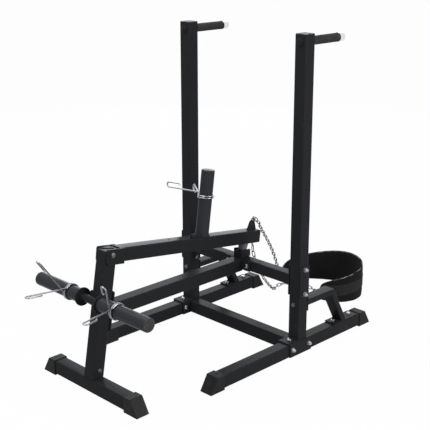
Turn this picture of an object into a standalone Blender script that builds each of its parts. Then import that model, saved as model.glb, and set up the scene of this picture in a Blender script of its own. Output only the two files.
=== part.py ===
"""Lever-arm belt squat machine with two handle uprights, built from its separate pieces.

Run with: blender --background --python part.py
Units are metres, +Z is up, +Y points from the front post to the uprights, and X runs across.
The rig empty stands on the floor in the plane of the two uprights.
"""
import math

import bmesh
import bpy
from mathutils import Matrix, Vector

# Common clearances
GAP = 0.0003
BOLT_CLEARANCE = 0.0004
POCKET_CLEARANCE = 0.0005

# Square tubes of the frame
TUBE = 0.050
TUBE_WALL = 0.0025
TUBE_CORNER = 0.0045
CROSS_TUBE = 0.043
PLATE = 0.005

# Overall layout, with Y measured from the plane of the uprights
UPRIGHT_PLANE_Y = 0.1155
UPRIGHT_SPACING = 0.585
UPRIGHT_TOP = 1.200
FRONT_FOOT_Y = -0.745
FRONT_FOOT_LENGTH = 0.444
BASE_FRONT = -0.447
BASE_REAR = 0.383

# Rubber foot caps
CAP_SKIN = 0.003
CAP_UNDER = 0.005
CAP_SLEEVE = 0.028
CAP_END = 0.006
CAP_TOE = 0.034

# Front post and its foot
POST_LEAN = math.radians(10.0)
POST_TOP = 0.503
STUB_HEIGHT = 0.060
POST_BOLT_Z = 0.084

# Spine beam and the plates at its ends
SPINE_TOP = 0.312
FLANGE_WIDTH = 0.060
FRONT_FLANGE_HEIGHT = 0.142
REAR_FLANGE_WIDTH = 0.136
REAR_FLANGE_HEIGHT = 0.043

# Vent holes through the plates that close a tube's ends
VENT_RADIUS = 0.006

# Cross tubes
LOWER_CROSS_Y = -0.0075
CROSS_FLANGE_HEIGHT = 0.120
CROSS_BOLT_SPREAD = 0.096
BACKING_PLATE = 0.004

# Upright feet
SADDLE_FRONT = -0.074
SADDLE_REAR = 0.046
SADDLE_BOLT_FRONT = -0.062
SADDLE_BOLT_REAR = 0.030
SADDLE_BOLT_Z = 0.036
SADDLE_HEM = 0.006

# Handles
HANDLE_DROP = 0.028
HANDLE_BAR_RADIUS = 0.0125
HANDLE_BOSS_RADIUS = 0.012
GRIP_RADIUS = 0.016
GRIP_RING_RADIUS = 0.0166
GRIP_RING = 0.005
GRIP_LENGTH = 0.151
HANDLE_CAP_LENGTH = 0.0275
HANDLE_START = 0.004

# Rear braces
BRACE_ARM_TOP = 0.210
BRACE_ARM_HEIGHT = 0.023
BRACE_ARM_REACH = 0.162
BRACE_LEG_DEPTH = 0.028
BRACE_LEG_TOP_Y = 0.1725
BRACE_LEG_FOOT_Y = 0.256
BRACE_MOUNT_TOP = 0.222
BRACE_MOUNT_BOTTOM = 0.167
BRACE_FOOT_FRONT = 0.196
BRACE_FOOT_REAR = 0.340
BRACE_BOLT_Z = 0.1985

# Storage horns on the front post
STORAGE_Z = 0.338
STORAGE_BAR_RADIUS = 0.014
STORAGE_PLATE_HEIGHT = 0.052
STORAGE_DISC_RADIUS = 0.033
STORAGE_DISC_X = 0.050
STORAGE_END_X = 0.298
SLEEVE_RADIUS = 0.025
SLEEVE_WALL = 0.003
END_CAP_LIP = 0.004
END_CAP_PLUG = 0.018

# Lever arm, in its own frame: origin on the pivot, Y along the arm
PIVOT_Z = 0.4907
LEVER_SLOPE = math.radians(7.92)
LEVER_TOP = 0.0197
LEVER_TIP = 0.7495
YOKE_FRONT = -0.022
YOKE_WEB = 0.040
YOKE_SHEET = 0.005
YOKE_SIDE_CLEARANCE = 0.0006
YOKE_REAR = 0.056
YOKE_DEPTH = 0.055
YOKE_TOP_CORNER = 0.005
YOKE_LOW_CORNER = 0.012
PIVOT_BOLT_RADIUS = 0.006
PIVOT_BUSH_RADIUS = 0.009
HORN_Y = 0.4515
HORN_LENGTH = 0.250
HORN_FLANGE_RADIUS = 0.029
LEVER_HOLES = (0.285, 0.340)
LEVER_HOLE_RADIUS = 0.0045

# Rest stop
BUMPER_Y = 0.685
BUMPER_HEIGHT = 0.0285
BUMPER_TOP_RADIUS = 0.020
BUMPER_FOOT_RADIUS = 0.016
SEAT_WIDTH = 0.042
SEAT_LENGTH = 0.050
SEAT_CHEEK = 0.0035
SEAT_CHEEK_RISE = 0.006

# Chain tab and chains
TAB_Y = 0.7234
TAB_HOLE_RISE = 0.0247
TAB_HOLE_RADIUS = 0.007
TAB_THICKNESS = 0.008
TAB_BASE = 0.047
TAB_CROWN_RADIUS = 0.013
WIRE = 0.005
LINK_PITCH = 0.0285
LINK_WIDTH = 0.020
LINK_SIDES = 4
LINK_BITE = 0.0010
CHAIN_REST = 0.0085
TAB_RING_RADIUS = 0.017
TAB_RING_TILT = math.radians(60.0)
TAB_RING_PLAY = 0.0016
BELT_RING_RADIUS = 0.0135
RING_SIDES = 6

# Hip belt
BELT_THICKNESS = 0.008
BELT_END_HEIGHT = 0.066
BELT_MIDDLE_HEIGHT = 0.149
BELT_HOLE_INSET = 0.014
BELT_HOLE_RADIUS = 0.007
BELT_RING_OFFSET = 0.0021

# Spring collars
COLLAR_WIRE = 0.0055
COLLAR_BORE_CLEARANCE = 0.0006
COLLAR_PITCH = 0.0068
COLLAR_HOOK = math.radians(45.0)
COLLAR_BEND_RADIUS = 0.011
COLLAR_ARM = 0.109
COLLAR_LOOP = 0.062
COLLAR_LOOP_WIDTH = 0.019
COLLAR_TURN_POINTS = 9
COLLAR_BEND_STEPS = 3
HORN_COLLAR_RISE = 0.151
HORN_COLLAR_TURN = math.radians(-13.2)
HORN_COLLAR_SPLAY = math.radians(12.2)
STORAGE_COLLAR_LEFT_X = -0.116
STORAGE_COLLAR_LEFT_TURN = math.radians(25.6)
STORAGE_COLLAR_LEFT_SPLAY = math.radians(22.2)
STORAGE_COLLAR_RIGHT_X = 0.136
STORAGE_COLLAR_RIGHT_TURN = math.radians(29.0)
STORAGE_COLLAR_RIGHT_SPLAY = math.radians(27.0)
STORAGE_COLLAR_RIGHT_LEAN = math.radians(20.0)

# Fasteners
BOLT_RADIUS = 0.005
BOLT_HEAD_ACROSS = 0.017
BOLT_HEAD_HEIGHT = 0.0064
NUT_HEIGHT = 0.008
STUD = 0.006
PIVOT_HEAD_ACROSS = 0.019
PIVOT_HEAD_HEIGHT = 0.0075

# Values that follow from the ones above
BASE_TOP = CAP_UNDER + TUBE
BASE_MIDDLE = CAP_UNDER + TUBE / 2
UPRIGHT_X = UPRIGHT_SPACING / 2
HANDLE_Z = UPRIGHT_TOP - HANDLE_DROP
SPINE_MIDDLE = SPINE_TOP - TUBE / 2
CROSS_MIDDLE = SPINE_TOP - CROSS_TUBE / 2
POST_HALF_DEPTH = TUBE / 2 / math.cos(POST_LEAN)
BOLT_HOLE = BOLT_RADIUS + BOLT_CLEARANCE
LEVER_UNDER = LEVER_TOP - TUBE
YOKE_INSIDE = TUBE / 2 + YOKE_SIDE_CLEARANCE
YOKE_OUTSIDE = YOKE_INSIDE + YOKE_SHEET
COLLAR_RADIUS = SLEEVE_RADIUS + COLLAR_BORE_CLEARANCE + COLLAR_WIRE / 2


def post_y(z):
    """Y of the leaning front post's centre line at a height."""
    return FRONT_FOOT_Y + (z - BASE_TOP) * math.tan(POST_LEAN)


PIVOT_Y = post_y(PIVOT_Z)
STORAGE_Y = post_y(STORAGE_Z) - POST_HALF_DEPTH - PLATE / math.cos(POST_LEAN) - STORAGE_BAR_RADIUS

for old in list(bpy.data.objects):
    bpy.data.objects.remove(old, do_unlink=True)


def finish(name, colour, roughness, metallic):
    """Makes a material with one plain finish."""
    made = bpy.data.materials.new(name)
    made.use_nodes = True
    shader = made.node_tree.nodes["Principled BSDF"]
    shader.inputs["Base Color"].default_value = (*colour, 1.0)
    shader.inputs["Roughness"].default_value = roughness
    shader.inputs["Metallic"].default_value = metallic
    made.diffuse_color = (*colour, 1.0)
    return made


POWDER_COAT = ("powder_coat", (0.018, 0.018, 0.020), 0.45, 0.0)
RUBBER = ("rubber", (0.030, 0.030, 0.032), 0.75, 0.0)
CAP_PLASTIC = ("cap_plastic", (0.040, 0.040, 0.042), 0.55, 0.0)
ZINC = ("zinc", (0.62, 0.62, 0.62), 0.30, 1.0)
CHROME = ("chrome", (0.75, 0.75, 0.76), 0.15, 1.0)
CHAIN_STEEL = ("chain_steel", (0.33, 0.33, 0.34), 0.35, 1.0)
BELT_CLOTH = ("belt_cloth", (0.012, 0.012, 0.013), 0.85, 0.0)

rig = bpy.data.objects.new("rig", None)
rig.location = (0.0, UPRIGHT_PLANE_Y, 0.0)
bpy.context.scene.collection.objects.link(rig)

lever_pivot = bpy.data.objects.new("lever_pivot", None)
lever_pivot.parent = rig
lever_pivot.location = (0.0, PIVOT_Y, PIVOT_Z)
lever_pivot.rotation_euler = (-LEVER_SLOPE, 0.0, 0.0)
bpy.context.scene.collection.objects.link(lever_pivot)


def add(name, mesh_builder, look, parent=rig, location=(0, 0, 0), rotation=(0, 0, 0)):
    """Makes an object from a bmesh, with its own material, placed under its parent."""
    mesh = bpy.data.meshes.new(name)
    bmesh.ops.recalc_face_normals(mesh_builder, faces=mesh_builder.faces)
    mesh_builder.to_mesh(mesh)
    mesh_builder.free()
    mesh.shade_smooth()
    mesh.set_sharp_from_angle(angle=math.radians(32))
    made = bpy.data.objects.new(name, mesh)
    made.parent = parent
    made.location = location
    made.rotation_euler = rotation
    bpy.context.scene.collection.objects.link(made)
    if look is not None:
        mesh.materials.append(finish(name + "_finish", *look[1:]))
    return made


def cut(target, builder, operation="DIFFERENCE"):
    """Cuts a shape, given in the target's own frame, from it, or joins the shape to it."""
    tool = add(target.name + "_" + operation.lower(), builder, None, parent=target)
    tool.hide_render = True
    tool.display_type = "WIRE"
    step = target.modifiers.new(operation.title(), "BOOLEAN")
    step.operation = operation
    step.object = tool
    step.solver = "EXACT"


def join(target, builder):
    """Welds a shape, given in the target's own frame, to it."""
    cut(target, builder, "UNION")


def rounded_ring(width, height, radius, segments=2):
    """Corners of a rectangle with round corners, anticlockwise, as (u, v) pairs."""
    points = []
    for turn, (su, sv) in enumerate(((1, 1), (-1, 1), (-1, -1), (1, -1))):
        cu = su * (width / 2 - radius)
        cv = sv * (height / 2 - radius)
        for step in range(segments + 1):
            angle = math.radians(90 * turn + 90 * step / segments)
            points.append((cu + radius * math.cos(angle), cv + radius * math.sin(angle)))
    return points


def circle_ring(radius, sides, phase=0.0):
    """Corners of a regular polygon as (u, v) pairs."""
    angles = [phase + math.tau * i / sides for i in range(sides)]
    return [(radius * math.cos(angle), radius * math.sin(angle)) for angle in angles]


def hexagon_ring(across_flats, sides=12):
    """A hexagon with as many points as the round shank that it is bridged to."""
    points = []
    for i in range(sides):
        angle = math.tau * i / sides
        nearest_flat = round(angle / (math.pi / 3)) * math.pi / 3
        reach = across_flats / 2 / math.cos(angle - nearest_flat)
        points.append((reach * math.cos(angle), reach * math.sin(angle)))
    return points


def loft(builder, rings, close_start=True, close_end=True):
    """Bridges rings of 3-D points in order and fills the two ends."""
    loops = [[builder.verts.new(point) for point in ring] for ring in rings]
    count = len(loops[0])
    for first, second in zip(loops, loops[1:]):
        for i in range(count):
            builder.faces.new((first[i], first[(i + 1) % count], second[(i + 1) % count], second[i]))
    if close_start:
        builder.faces.new(loops[0][::-1])
    if close_end:
        builder.faces.new(loops[-1])
    return loops


def place_ring(ring, axis, station):
    """Puts (u, v) pairs in the plane square to an axis at a station along it."""
    if axis == "X":
        return [Vector((station, u, v)) for u, v in ring]
    if axis == "Y":
        return [Vector((-u, station, v)) for u, v in ring]
    return [Vector((u, v, station)) for u, v in ring]


def pipe(builder, outer, inner, axis, start, end):
    """A hollow length: an outer and an inner ring, with flat rims at both ends."""
    outside = loft(builder, [place_ring(outer, axis, start), place_ring(outer, axis, end)], False, False)
    inside = loft(builder, [place_ring(inner, axis, end), place_ring(inner, axis, start)], False, False)
    count = len(outer)
    for rim, bore in ((outside[0], inside[1]), (outside[1], inside[0])):
        for i in range(count):
            builder.faces.new((rim[i], rim[(i + 1) % count], bore[(i + 1) % count], bore[i]))


def square_tube(axis, start, end, width=TUBE, height=TUBE):
    """A square tube with round corners outside and inside."""
    builder = bmesh.new()
    outer = rounded_ring(width, height, TUBE_CORNER)
    inner = rounded_ring(width - 2 * TUBE_WALL, height - 2 * TUBE_WALL, TUBE_CORNER - TUBE_WALL)
    pipe(builder, outer, inner, axis, start, end)
    return builder


def rod(axis, start, end, radius, sides=12, builder=None):
    """A plain round length, used for bars, bolts' shanks and the cutters of their holes."""
    builder = builder or bmesh.new()
    ring = circle_ring(radius, sides, math.pi / sides)
    loft(builder, [place_ring(ring, axis, start), place_ring(ring, axis, end)])
    return builder


def block(low, high, builder=None):
    """A box between two corners."""
    builder = builder or bmesh.new()
    middle = (Vector(low) + Vector(high)) / 2
    size = Vector(high) - Vector(low)
    matrix = Matrix.Translation(middle) @ Matrix.Diagonal((*size, 1.0))
    bmesh.ops.create_cube(builder, size=1.0, matrix=matrix)
    return builder


def plate(outline, axis, start, end, builder=None):
    """A flat plate with the given outline, square to an axis."""
    builder = builder or bmesh.new()
    loft(builder, [place_ring(outline, axis, start), place_ring(outline, axis, end)])
    return builder


def round_tube(axis, start, end, radius, wall, sides=24):
    """A round tube."""
    builder = bmesh.new()
    pipe(builder, circle_ring(radius, sides), circle_ring(radius - wall, sides), axis, start, end)
    return builder


def moved(builder, offset):
    """Shifts a bmesh and returns it."""
    bmesh.ops.translate(builder, verts=builder.verts, vec=Vector(offset))
    return builder


def sheared(builder):
    """Leans an upright bmesh with the front post, its level cuts staying level."""
    for vertex in builder.verts:
        vertex.co.y = vertex.co.y / math.cos(POST_LEAN) + vertex.co.z * math.tan(POST_LEAN)
    return builder


def turned(profile, sides, axis="Z"):
    """A round solid from (station, radius) pairs along its axis, both ends filled."""
    builder = bmesh.new()
    rings = [place_ring(circle_ring(radius, sides), axis, station) for station, radius in profile]
    loft(builder, rings)
    return builder


def bolt(name, grip, parent=rig, location=(0, 0, 0), rotation=(0, 0, 0), radius=BOLT_RADIUS,
         across=BOLT_HEAD_ACROSS, head=BOLT_HEAD_HEIGHT, nut=NUT_HEIGHT, stud=STUD):
    """A hexagon bolt with its nut: head below the origin, shank up local Z through the grip."""
    hexagon = hexagon_ring(across)
    worn = hexagon_ring(across * 0.9)
    shank = circle_ring(radius, 12)
    stations = [(worn, -GAP - head), (hexagon, -GAP - head * 0.75), (hexagon, -GAP), (shank, -GAP)]
    if nut:
        stations += [(shank, grip + GAP), (hexagon, grip + GAP), (hexagon, grip + GAP + nut),
                     (shank, grip + GAP + nut)]
    stations += [(shank, grip + GAP + nut + stud)]
    builder = bmesh.new()
    loft(builder, [place_ring(ring, "Z", station) for ring, station in stations])
    return add(name, builder, ZINC, parent, location, rotation)


def foot_cap(name, location, turn):
    """A rubber cap on a foot tube's end; local +X points out of the tube's end."""
    half = TUBE / 2 + CAP_SKIN
    top = BASE_TOP + CAP_SKIN
    outline = [(-CAP_SLEEVE, 0.0), (CAP_END + CAP_TOE, 0.0), (CAP_END, top), (-CAP_SLEEVE, top)]
    builder = bmesh.new()
    bottom = [Vector((x, -half, z)) for x, z in outline]
    loft(builder, [bottom, [point + Vector((0, 2 * half, 0)) for point in bottom]])
    edges = [edge for edge in builder.edges if max(vertex.co.x for vertex in edge.verts) > CAP_END - GAP]
    bmesh.ops.bevel(builder, geom=edges, offset=0.0025, segments=1, affect="EDGES", profile=0.5, material=-1)
    cap = add(name, builder, RUBBER, rig, location, (0, 0, turn))
    pocket = TUBE + 2 * POCKET_CLEARANCE
    ring = rounded_ring(pocket, pocket, TUBE_CORNER)
    hollow = plate(ring, "X", -CAP_SLEEVE - CAP_SKIN, POCKET_CLEARANCE)
    cut(cap, moved(hollow, (0, 0, BASE_MIDDLE)))
    return cap


def tube_plug(name, parent, location, rotation=(0, 0, 0), size=TUBE, crown=0.004):
    """A plastic plug in the end of a square tube; local +Z points out of it."""
    core = size - 2 * TUBE_WALL - 2 * POCKET_CLEARANCE
    shell = rounded_ring(core, core, TUBE_CORNER - TUBE_WALL)
    edge = rounded_ring(size - 0.001, size - 0.001, TUBE_CORNER)
    face = rounded_ring(size - 0.006, size - 0.006, TUBE_CORNER - 0.001)
    builder = bmesh.new()
    stations = ((shell, -END_CAP_PLUG), (shell, GAP), (edge, GAP), (edge, crown * 0.5), (face, crown))
    loft(builder, [place_ring(ring, "Z", station) for ring, station in stations])
    return add(name, builder, CAP_PLASTIC, parent, location, rotation)


def sleeve_plug(name, parent, location, rotation=(0, 0, 0)):
    """A plastic plug in the end of a round sleeve; local +Z points out of it."""
    core = SLEEVE_RADIUS - SLEEVE_WALL - POCKET_CLEARANCE
    rim = SLEEVE_RADIUS - GAP
    profile = [(-END_CAP_PLUG, core), (GAP, core), (GAP, rim), (END_CAP_LIP * 0.6, rim),
               (END_CAP_LIP, rim - 0.003)]
    return add(name, turned(profile, 24), CAP_PLASTIC, parent, location, rotation)


def build_front_foot():
    """Front foot tube with the stub that the post slides over, its caps, and the post's bolt."""
    half = FRONT_FOOT_LENGTH / 2
    tube = square_tube("X", -half, half)
    foot = add("front_foot_tube", tube, POWDER_COAT, rig, (0, FRONT_FOOT_Y, BASE_MIDDLE))
    core = TUBE - 2 * TUBE_WALL - 2 * POCKET_CLEARANCE
    stub = bmesh.new()
    outer = rounded_ring(core, core, TUBE_CORNER - TUBE_WALL)
    inner = rounded_ring(core - 2 * TUBE_WALL, core - 2 * TUBE_WALL, 0.001)
    pipe(stub, outer, inner, "Z", -TUBE_WALL / 2, STUB_HEIGHT)
    join(foot, moved(sheared(stub), (0, 0, TUBE / 2)))
    bolt_y = post_y(POST_BOLT_Z) - FRONT_FOOT_Y
    hole = moved(rod("X", -TUBE, TUBE, BOLT_HOLE), (0, bolt_y, POST_BOLT_Z - BASE_MIDDLE))
    cut(foot, hole)
    foot_cap("front_foot_cap_right", (half, FRONT_FOOT_Y, 0), 0.0)
    foot_cap("front_foot_cap_left", (-half, FRONT_FOOT_Y, 0), math.pi)
    bolt("post_foot_bolt", TUBE, rig, (TUBE / 2, post_y(POST_BOLT_Z), POST_BOLT_Z), (0, -math.pi / 2, 0))


def build_front_post():
    """Leaning front post with holes for its bolts and for the pivot bush, and its top plug."""
    outer = rounded_ring(TUBE, TUBE, TUBE_CORNER)
    inner = rounded_ring(TUBE - 2 * TUBE_WALL, TUBE - 2 * TUBE_WALL, TUBE_CORNER - TUBE_WALL)
    tube = bmesh.new()
    pipe(tube, outer, inner, "Z", GAP, POST_TOP - BASE_TOP)
    post = add("front_post", sheared(tube), POWDER_COAT, rig, (0, FRONT_FOOT_Y, BASE_TOP))
    holes = bmesh.new()
    for z, radius in ((POST_BOLT_Z, BOLT_HOLE), (PIVOT_Z, PIVOT_BUSH_RADIUS + BOLT_CLEARANCE)):
        bore = moved(rod("X", -TUBE, TUBE, radius), (0, post_y(z) - FRONT_FOOT_Y, z - BASE_TOP))
        merge(holes, bore)
    cut(post, holes)
    add("pivot_bush", bush_mesh(), ZINC, rig, (0, PIVOT_Y, PIVOT_Z))
    top = post_y(POST_TOP)
    plug = tube_plug("front_post_plug", rig, (0, top, POST_TOP))
    for vertex in plug.data.vertices:
        vertex.co.y += vertex.co.z * math.tan(POST_LEAN)
    notch = rod("X", -TUBE, TUBE, PIVOT_BUSH_RADIUS + POCKET_CLEARANCE)
    cut(plug, moved(notch, (0, PIVOT_Y - top, PIVOT_Z - POST_TOP)))


def bush_mesh():
    """Steel tube across the post that the pivot bolt turns in."""
    wall = PIVOT_BUSH_RADIUS - PIVOT_BOLT_RADIUS - BOLT_CLEARANCE
    return round_tube("X", -TUBE / 2, TUBE / 2, PIVOT_BUSH_RADIUS, wall, 12)


def merge(target, other):
    """Adds one bmesh to another and frees it."""
    spare = bpy.data.meshes.new("spare")
    other.to_mesh(spare)
    other.free()
    target.from_mesh(spare)
    bpy.data.meshes.remove(spare)
    return target


def build_storage_horns():
    """Plate on the post's front, thin bar with two discs, and a sleeve with a plug each side."""
    bar = rod("X", -STORAGE_DISC_X, STORAGE_DISC_X, STORAGE_BAR_RADIUS, 16)
    node = add("storage_bar", bar, POWDER_COAT, rig, (0, STORAGE_Y, STORAGE_Z))
    extra = bmesh.new()
    for side in (-1, 1):
        inner = side * (STORAGE_DISC_X - PLATE / 2)
        outer = side * (STORAGE_DISC_X + PLATE / 2)
        rod("X", min(inner, outer), max(inner, outer), STORAGE_DISC_RADIUS, 24, extra)
    join(node, extra)
    sheet = plate(rounded_ring(FLANGE_WIDTH, STORAGE_PLATE_HEIGHT, 0.006), "Y", -PLATE, 0.0)
    bmesh.ops.rotate(sheet, verts=sheet.verts, matrix=Matrix.Rotation(-POST_LEAN, 3, "X"))
    front_y = post_y(STORAGE_Z) - POST_HALF_DEPTH - GAP
    join(node, moved(sheet, (0, front_y - STORAGE_Y, 0)))
    start = STORAGE_DISC_X + PLATE / 2 + GAP
    end = STORAGE_END_X - END_CAP_LIP
    for side, word in ((-1, "left"), (1, "right")):
        tube = round_tube("Z", start, end, SLEEVE_RADIUS, SLEEVE_WALL)
        turn = (0, side * math.pi / 2, 0)
        add("storage_sleeve_" + word, tube, POWDER_COAT, rig, (0, STORAGE_Y, STORAGE_Z), turn)
        sleeve_plug("storage_plug_" + word, rig, (side * end, STORAGE_Y, STORAGE_Z), turn)


def build_spine():
    """Spine beam with a leaning flange on the post and a flange on the upper cross tube."""
    rear = -CROSS_TUBE / 2 - GAP
    front = post_y(SPINE_MIDDLE) + POST_HALF_DEPTH + GAP
    reach = PLATE / math.cos(POST_LEAN)
    tube = square_tube("Y", front + reach / 2, rear - PLATE / 2)
    for vertex in tube.verts:
        if vertex.co.y < (front + rear) / 2:
            vertex.co.y += vertex.co.z * math.tan(POST_LEAN)
    spine = add("spine_beam", tube, POWDER_COAT, rig, (0, 0, SPINE_MIDDLE))
    sheet = plate(rounded_ring(FLANGE_WIDTH, FRONT_FLANGE_HEIGHT, 0.006), "Y", 0.0, PLATE)
    bmesh.ops.rotate(sheet, verts=sheet.verts, matrix=Matrix.Rotation(-POST_LEAN, 3, "X"))
    join(spine, moved(sheet, (0, front, 0)))
    outline = rounded_ring(REAR_FLANGE_WIDTH, REAR_FLANGE_HEIGHT, 0.005)
    low = CROSS_MIDDLE - SPINE_MIDDLE
    join(spine, moved(plate(outline, "Y", rear - PLATE, rear), (0, 0, low)))
    cut(spine, rod("Y", front - PLATE, rear + PLATE, VENT_RADIUS))


def build_base():
    """Two base tubes with their caps, and the lower cross tube between them."""
    for side, word in ((-1, "left"), (1, "right")):
        x = side * UPRIGHT_X
        tube = square_tube("Y", BASE_FRONT, BASE_REAR)
        base = add("base_tube_" + word, tube, POWDER_COAT, rig, (x, 0, BASE_MIDDLE))
        holes = bmesh.new()
        for y in (SADDLE_BOLT_FRONT, SADDLE_BOLT_REAR):
            merge(holes, moved(rod("X", -TUBE, TUBE, BOLT_HOLE), (0, y, SADDLE_BOLT_Z - BASE_MIDDLE)))
        cut(base, holes)
        foot_cap("base_cap_front_" + word, (x, BASE_FRONT, 0), -math.pi / 2)
        foot_cap("base_cap_rear_" + word, (x, BASE_REAR, 0), math.pi / 2)
    end = UPRIGHT_X - TUBE / 2 - PLATE - 2 * GAP
    lower = square_tube("X", -end, end)
    add("lower_cross_tube", lower, POWDER_COAT, rig, (0, LOWER_CROSS_Y, BASE_MIDDLE))


def build_upper_cross():
    """Upper cross tube with its end flanges, backing plates and four long bolts."""
    face = UPRIGHT_X - TUBE / 2 - GAP
    tube = square_tube("X", -face + PLATE / 2, face - PLATE / 2, CROSS_TUBE, CROSS_TUBE)
    node = add("upper_cross_tube", tube, POWDER_COAT, rig, (0, 0, CROSS_MIDDLE))
    outline = rounded_ring(TUBE, CROSS_FLANGE_HEIGHT, 0.005)
    flanges = bmesh.new()
    for side in (-1, 1):
        inner, outer = sorted((side * (face - PLATE), side * face))
        plate(outline, "X", inner, outer, flanges)
    join(node, flanges)
    holes = bmesh.new()
    for rise in (-CROSS_BOLT_SPREAD / 2, CROSS_BOLT_SPREAD / 2):
        merge(holes, moved(rod("X", -UPRIGHT_X, UPRIGHT_X, BOLT_HOLE), (0, 0, rise)))
    rod("X", -UPRIGHT_X, UPRIGHT_X, VENT_RADIUS, builder=holes)
    cut(node, holes)
    grip = PLATE + GAP + TUBE + GAP + BACKING_PLATE
    for side, word in ((-1, "left"), (1, "right")):
        sheet = plate(outline, "X", 0.0, BACKING_PLATE)
        turn = (0, 0, 0) if side > 0 else (0, 0, math.pi)
        x = side * (UPRIGHT_X + TUBE / 2 + GAP)
        backing = add("backing_plate_" + word, sheet, POWDER_COAT, rig, (x, 0, CROSS_MIDDLE), turn)
        bores = bmesh.new()
        for rise in (-CROSS_BOLT_SPREAD / 2, CROSS_BOLT_SPREAD / 2):
            merge(bores, moved(rod("X", -TUBE, TUBE, BOLT_HOLE), (0, 0, rise)))
        cut(backing, bores)
        for rise, level in ((-CROSS_BOLT_SPREAD / 2, "lower"), (CROSS_BOLT_SPREAD / 2, "upper")):
            place = (side * (face - PLATE), 0, CROSS_MIDDLE + rise)
            bolt("cross_bolt_" + level + "_" + word, grip, rig, place, (0, side * math.pi / 2, 0))


def build_uprights():
    """Uprights with the saddles that straddle the base tubes, their plugs and saddle bolts."""
    sheet_outer = TUBE / 2 + GAP + PLATE
    for side, word in ((-1, "left"), (1, "right")):
        x = side * UPRIGHT_X
        sole = BASE_TOP + GAP
        top = UPRIGHT_TOP - 0.004
        tube = square_tube("Z", sole + PLATE / 2, top)
        node = add("upright_" + word, tube, POWDER_COAT, rig, (x, 0, 0))
        saddle = block((-sheet_outer, SADDLE_FRONT, SADDLE_HEM), (sheet_outer, SADDLE_REAR, sole + PLATE))
        join(node, saddle)
        width = TUBE / 2 + GAP
        channel = block((-width, SADDLE_FRONT - PLATE, 0), (width, SADDLE_REAR + PLATE, sole))
        cut(node, channel)
        holes = bmesh.new()
        for y in (SADDLE_BOLT_FRONT, SADDLE_BOLT_REAR):
            merge(holes, moved(rod("X", -TUBE, TUBE, BOLT_HOLE), (0, y, SADDLE_BOLT_Z)))
        for rise in (-CROSS_BOLT_SPREAD / 2, CROSS_BOLT_SPREAD / 2):
            merge(holes, moved(rod("X", -TUBE, TUBE, BOLT_HOLE), (0, 0, CROSS_MIDDLE + rise)))
        merge(holes, moved(rod("Y", -TUBE, TUBE, BOLT_HOLE), (0, 0, BRACE_BOLT_Z)))
        bar_hole = HANDLE_BAR_RADIUS + BOLT_CLEARANCE
        merge(holes, moved(rod("Y", -TUBE, TUBE, bar_hole, 16), (0, 0, HANDLE_Z)))
        cut(node, holes)
        plug = tube_plug("upright_plug_" + word, rig, (x, 0, top))
        notch = rod("Y", -TUBE, TUBE, HANDLE_BAR_RADIUS + POCKET_CLEARANCE, 16)
        cut(plug, moved(notch, (0, 0, HANDLE_Z - top)))
        grip = 2 * sheet_outer
        for y, where in ((SADDLE_BOLT_FRONT, "front"), (SADDLE_BOLT_REAR, "rear")):
            place = (x - side * sheet_outer, y, SADDLE_BOLT_Z)
            bolt("saddle_bolt_" + where + "_" + word, grip, rig, place, (0, side * math.pi / 2, 0))


def build_handles():
    """Handle bars through the uprights, with a boss in front and a grip and cap behind."""
    start = TUBE / 2 + HANDLE_START
    for side, word in ((-1, "left"), (1, "right")):
        place = (side * UPRIGHT_X, 0, HANDLE_Z)
        end = start + GRIP_LENGTH + HANDLE_CAP_LENGTH * 0.5
        face = -TUBE / 2 - GAP
        boss = HANDLE_BOSS_RADIUS + 0.003
        profile = [(face - 0.005, HANDLE_BOSS_RADIUS + 0.001), (face - 0.003, boss), (face, boss),
                   (face, HANDLE_BAR_RADIUS), (end, HANDLE_BAR_RADIUS)]
        add("handle_bar_" + word, turned(profile, 16, "Y"), POWDER_COAT, rig, place)
        bore = HANDLE_BAR_RADIUS + GAP
        stop = start + GRIP_LENGTH
        stations = [(start, GRIP_RING_RADIUS), (start + GRIP_RING, GRIP_RING_RADIUS),
                    (start + GRIP_RING, GRIP_RADIUS), (stop - GRIP_RING, GRIP_RADIUS),
                    (stop - GRIP_RING, GRIP_RING_RADIUS), (stop, GRIP_RING_RADIUS),
                    (stop, bore), (start, bore), (start, GRIP_RING_RADIUS)]
        grip = bmesh.new()
        rings = [place_ring(circle_ring(radius, 16), "Y", station) for station, radius in stations]
        loft(grip, rings, False, False)
        bmesh.ops.remove_doubles(grip, verts=grip.verts, dist=1e-6)
        add("handle_grip_" + word, grip, RUBBER, rig, place)
        begin = stop + GAP
        cup = [(begin, GRIP_RADIUS), (begin + HANDLE_CAP_LENGTH * 0.8, GRIP_RADIUS),
               (begin + HANDLE_CAP_LENGTH, GRIP_RADIUS - 0.003)]
        cap = add("handle_cap_" + word, turned(cup, 16, "Y"), CHROME, rig, place)
        cut(cap, rod("Y", 0.0, end + GAP, HANDLE_BAR_RADIUS + GAP, 16))


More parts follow.
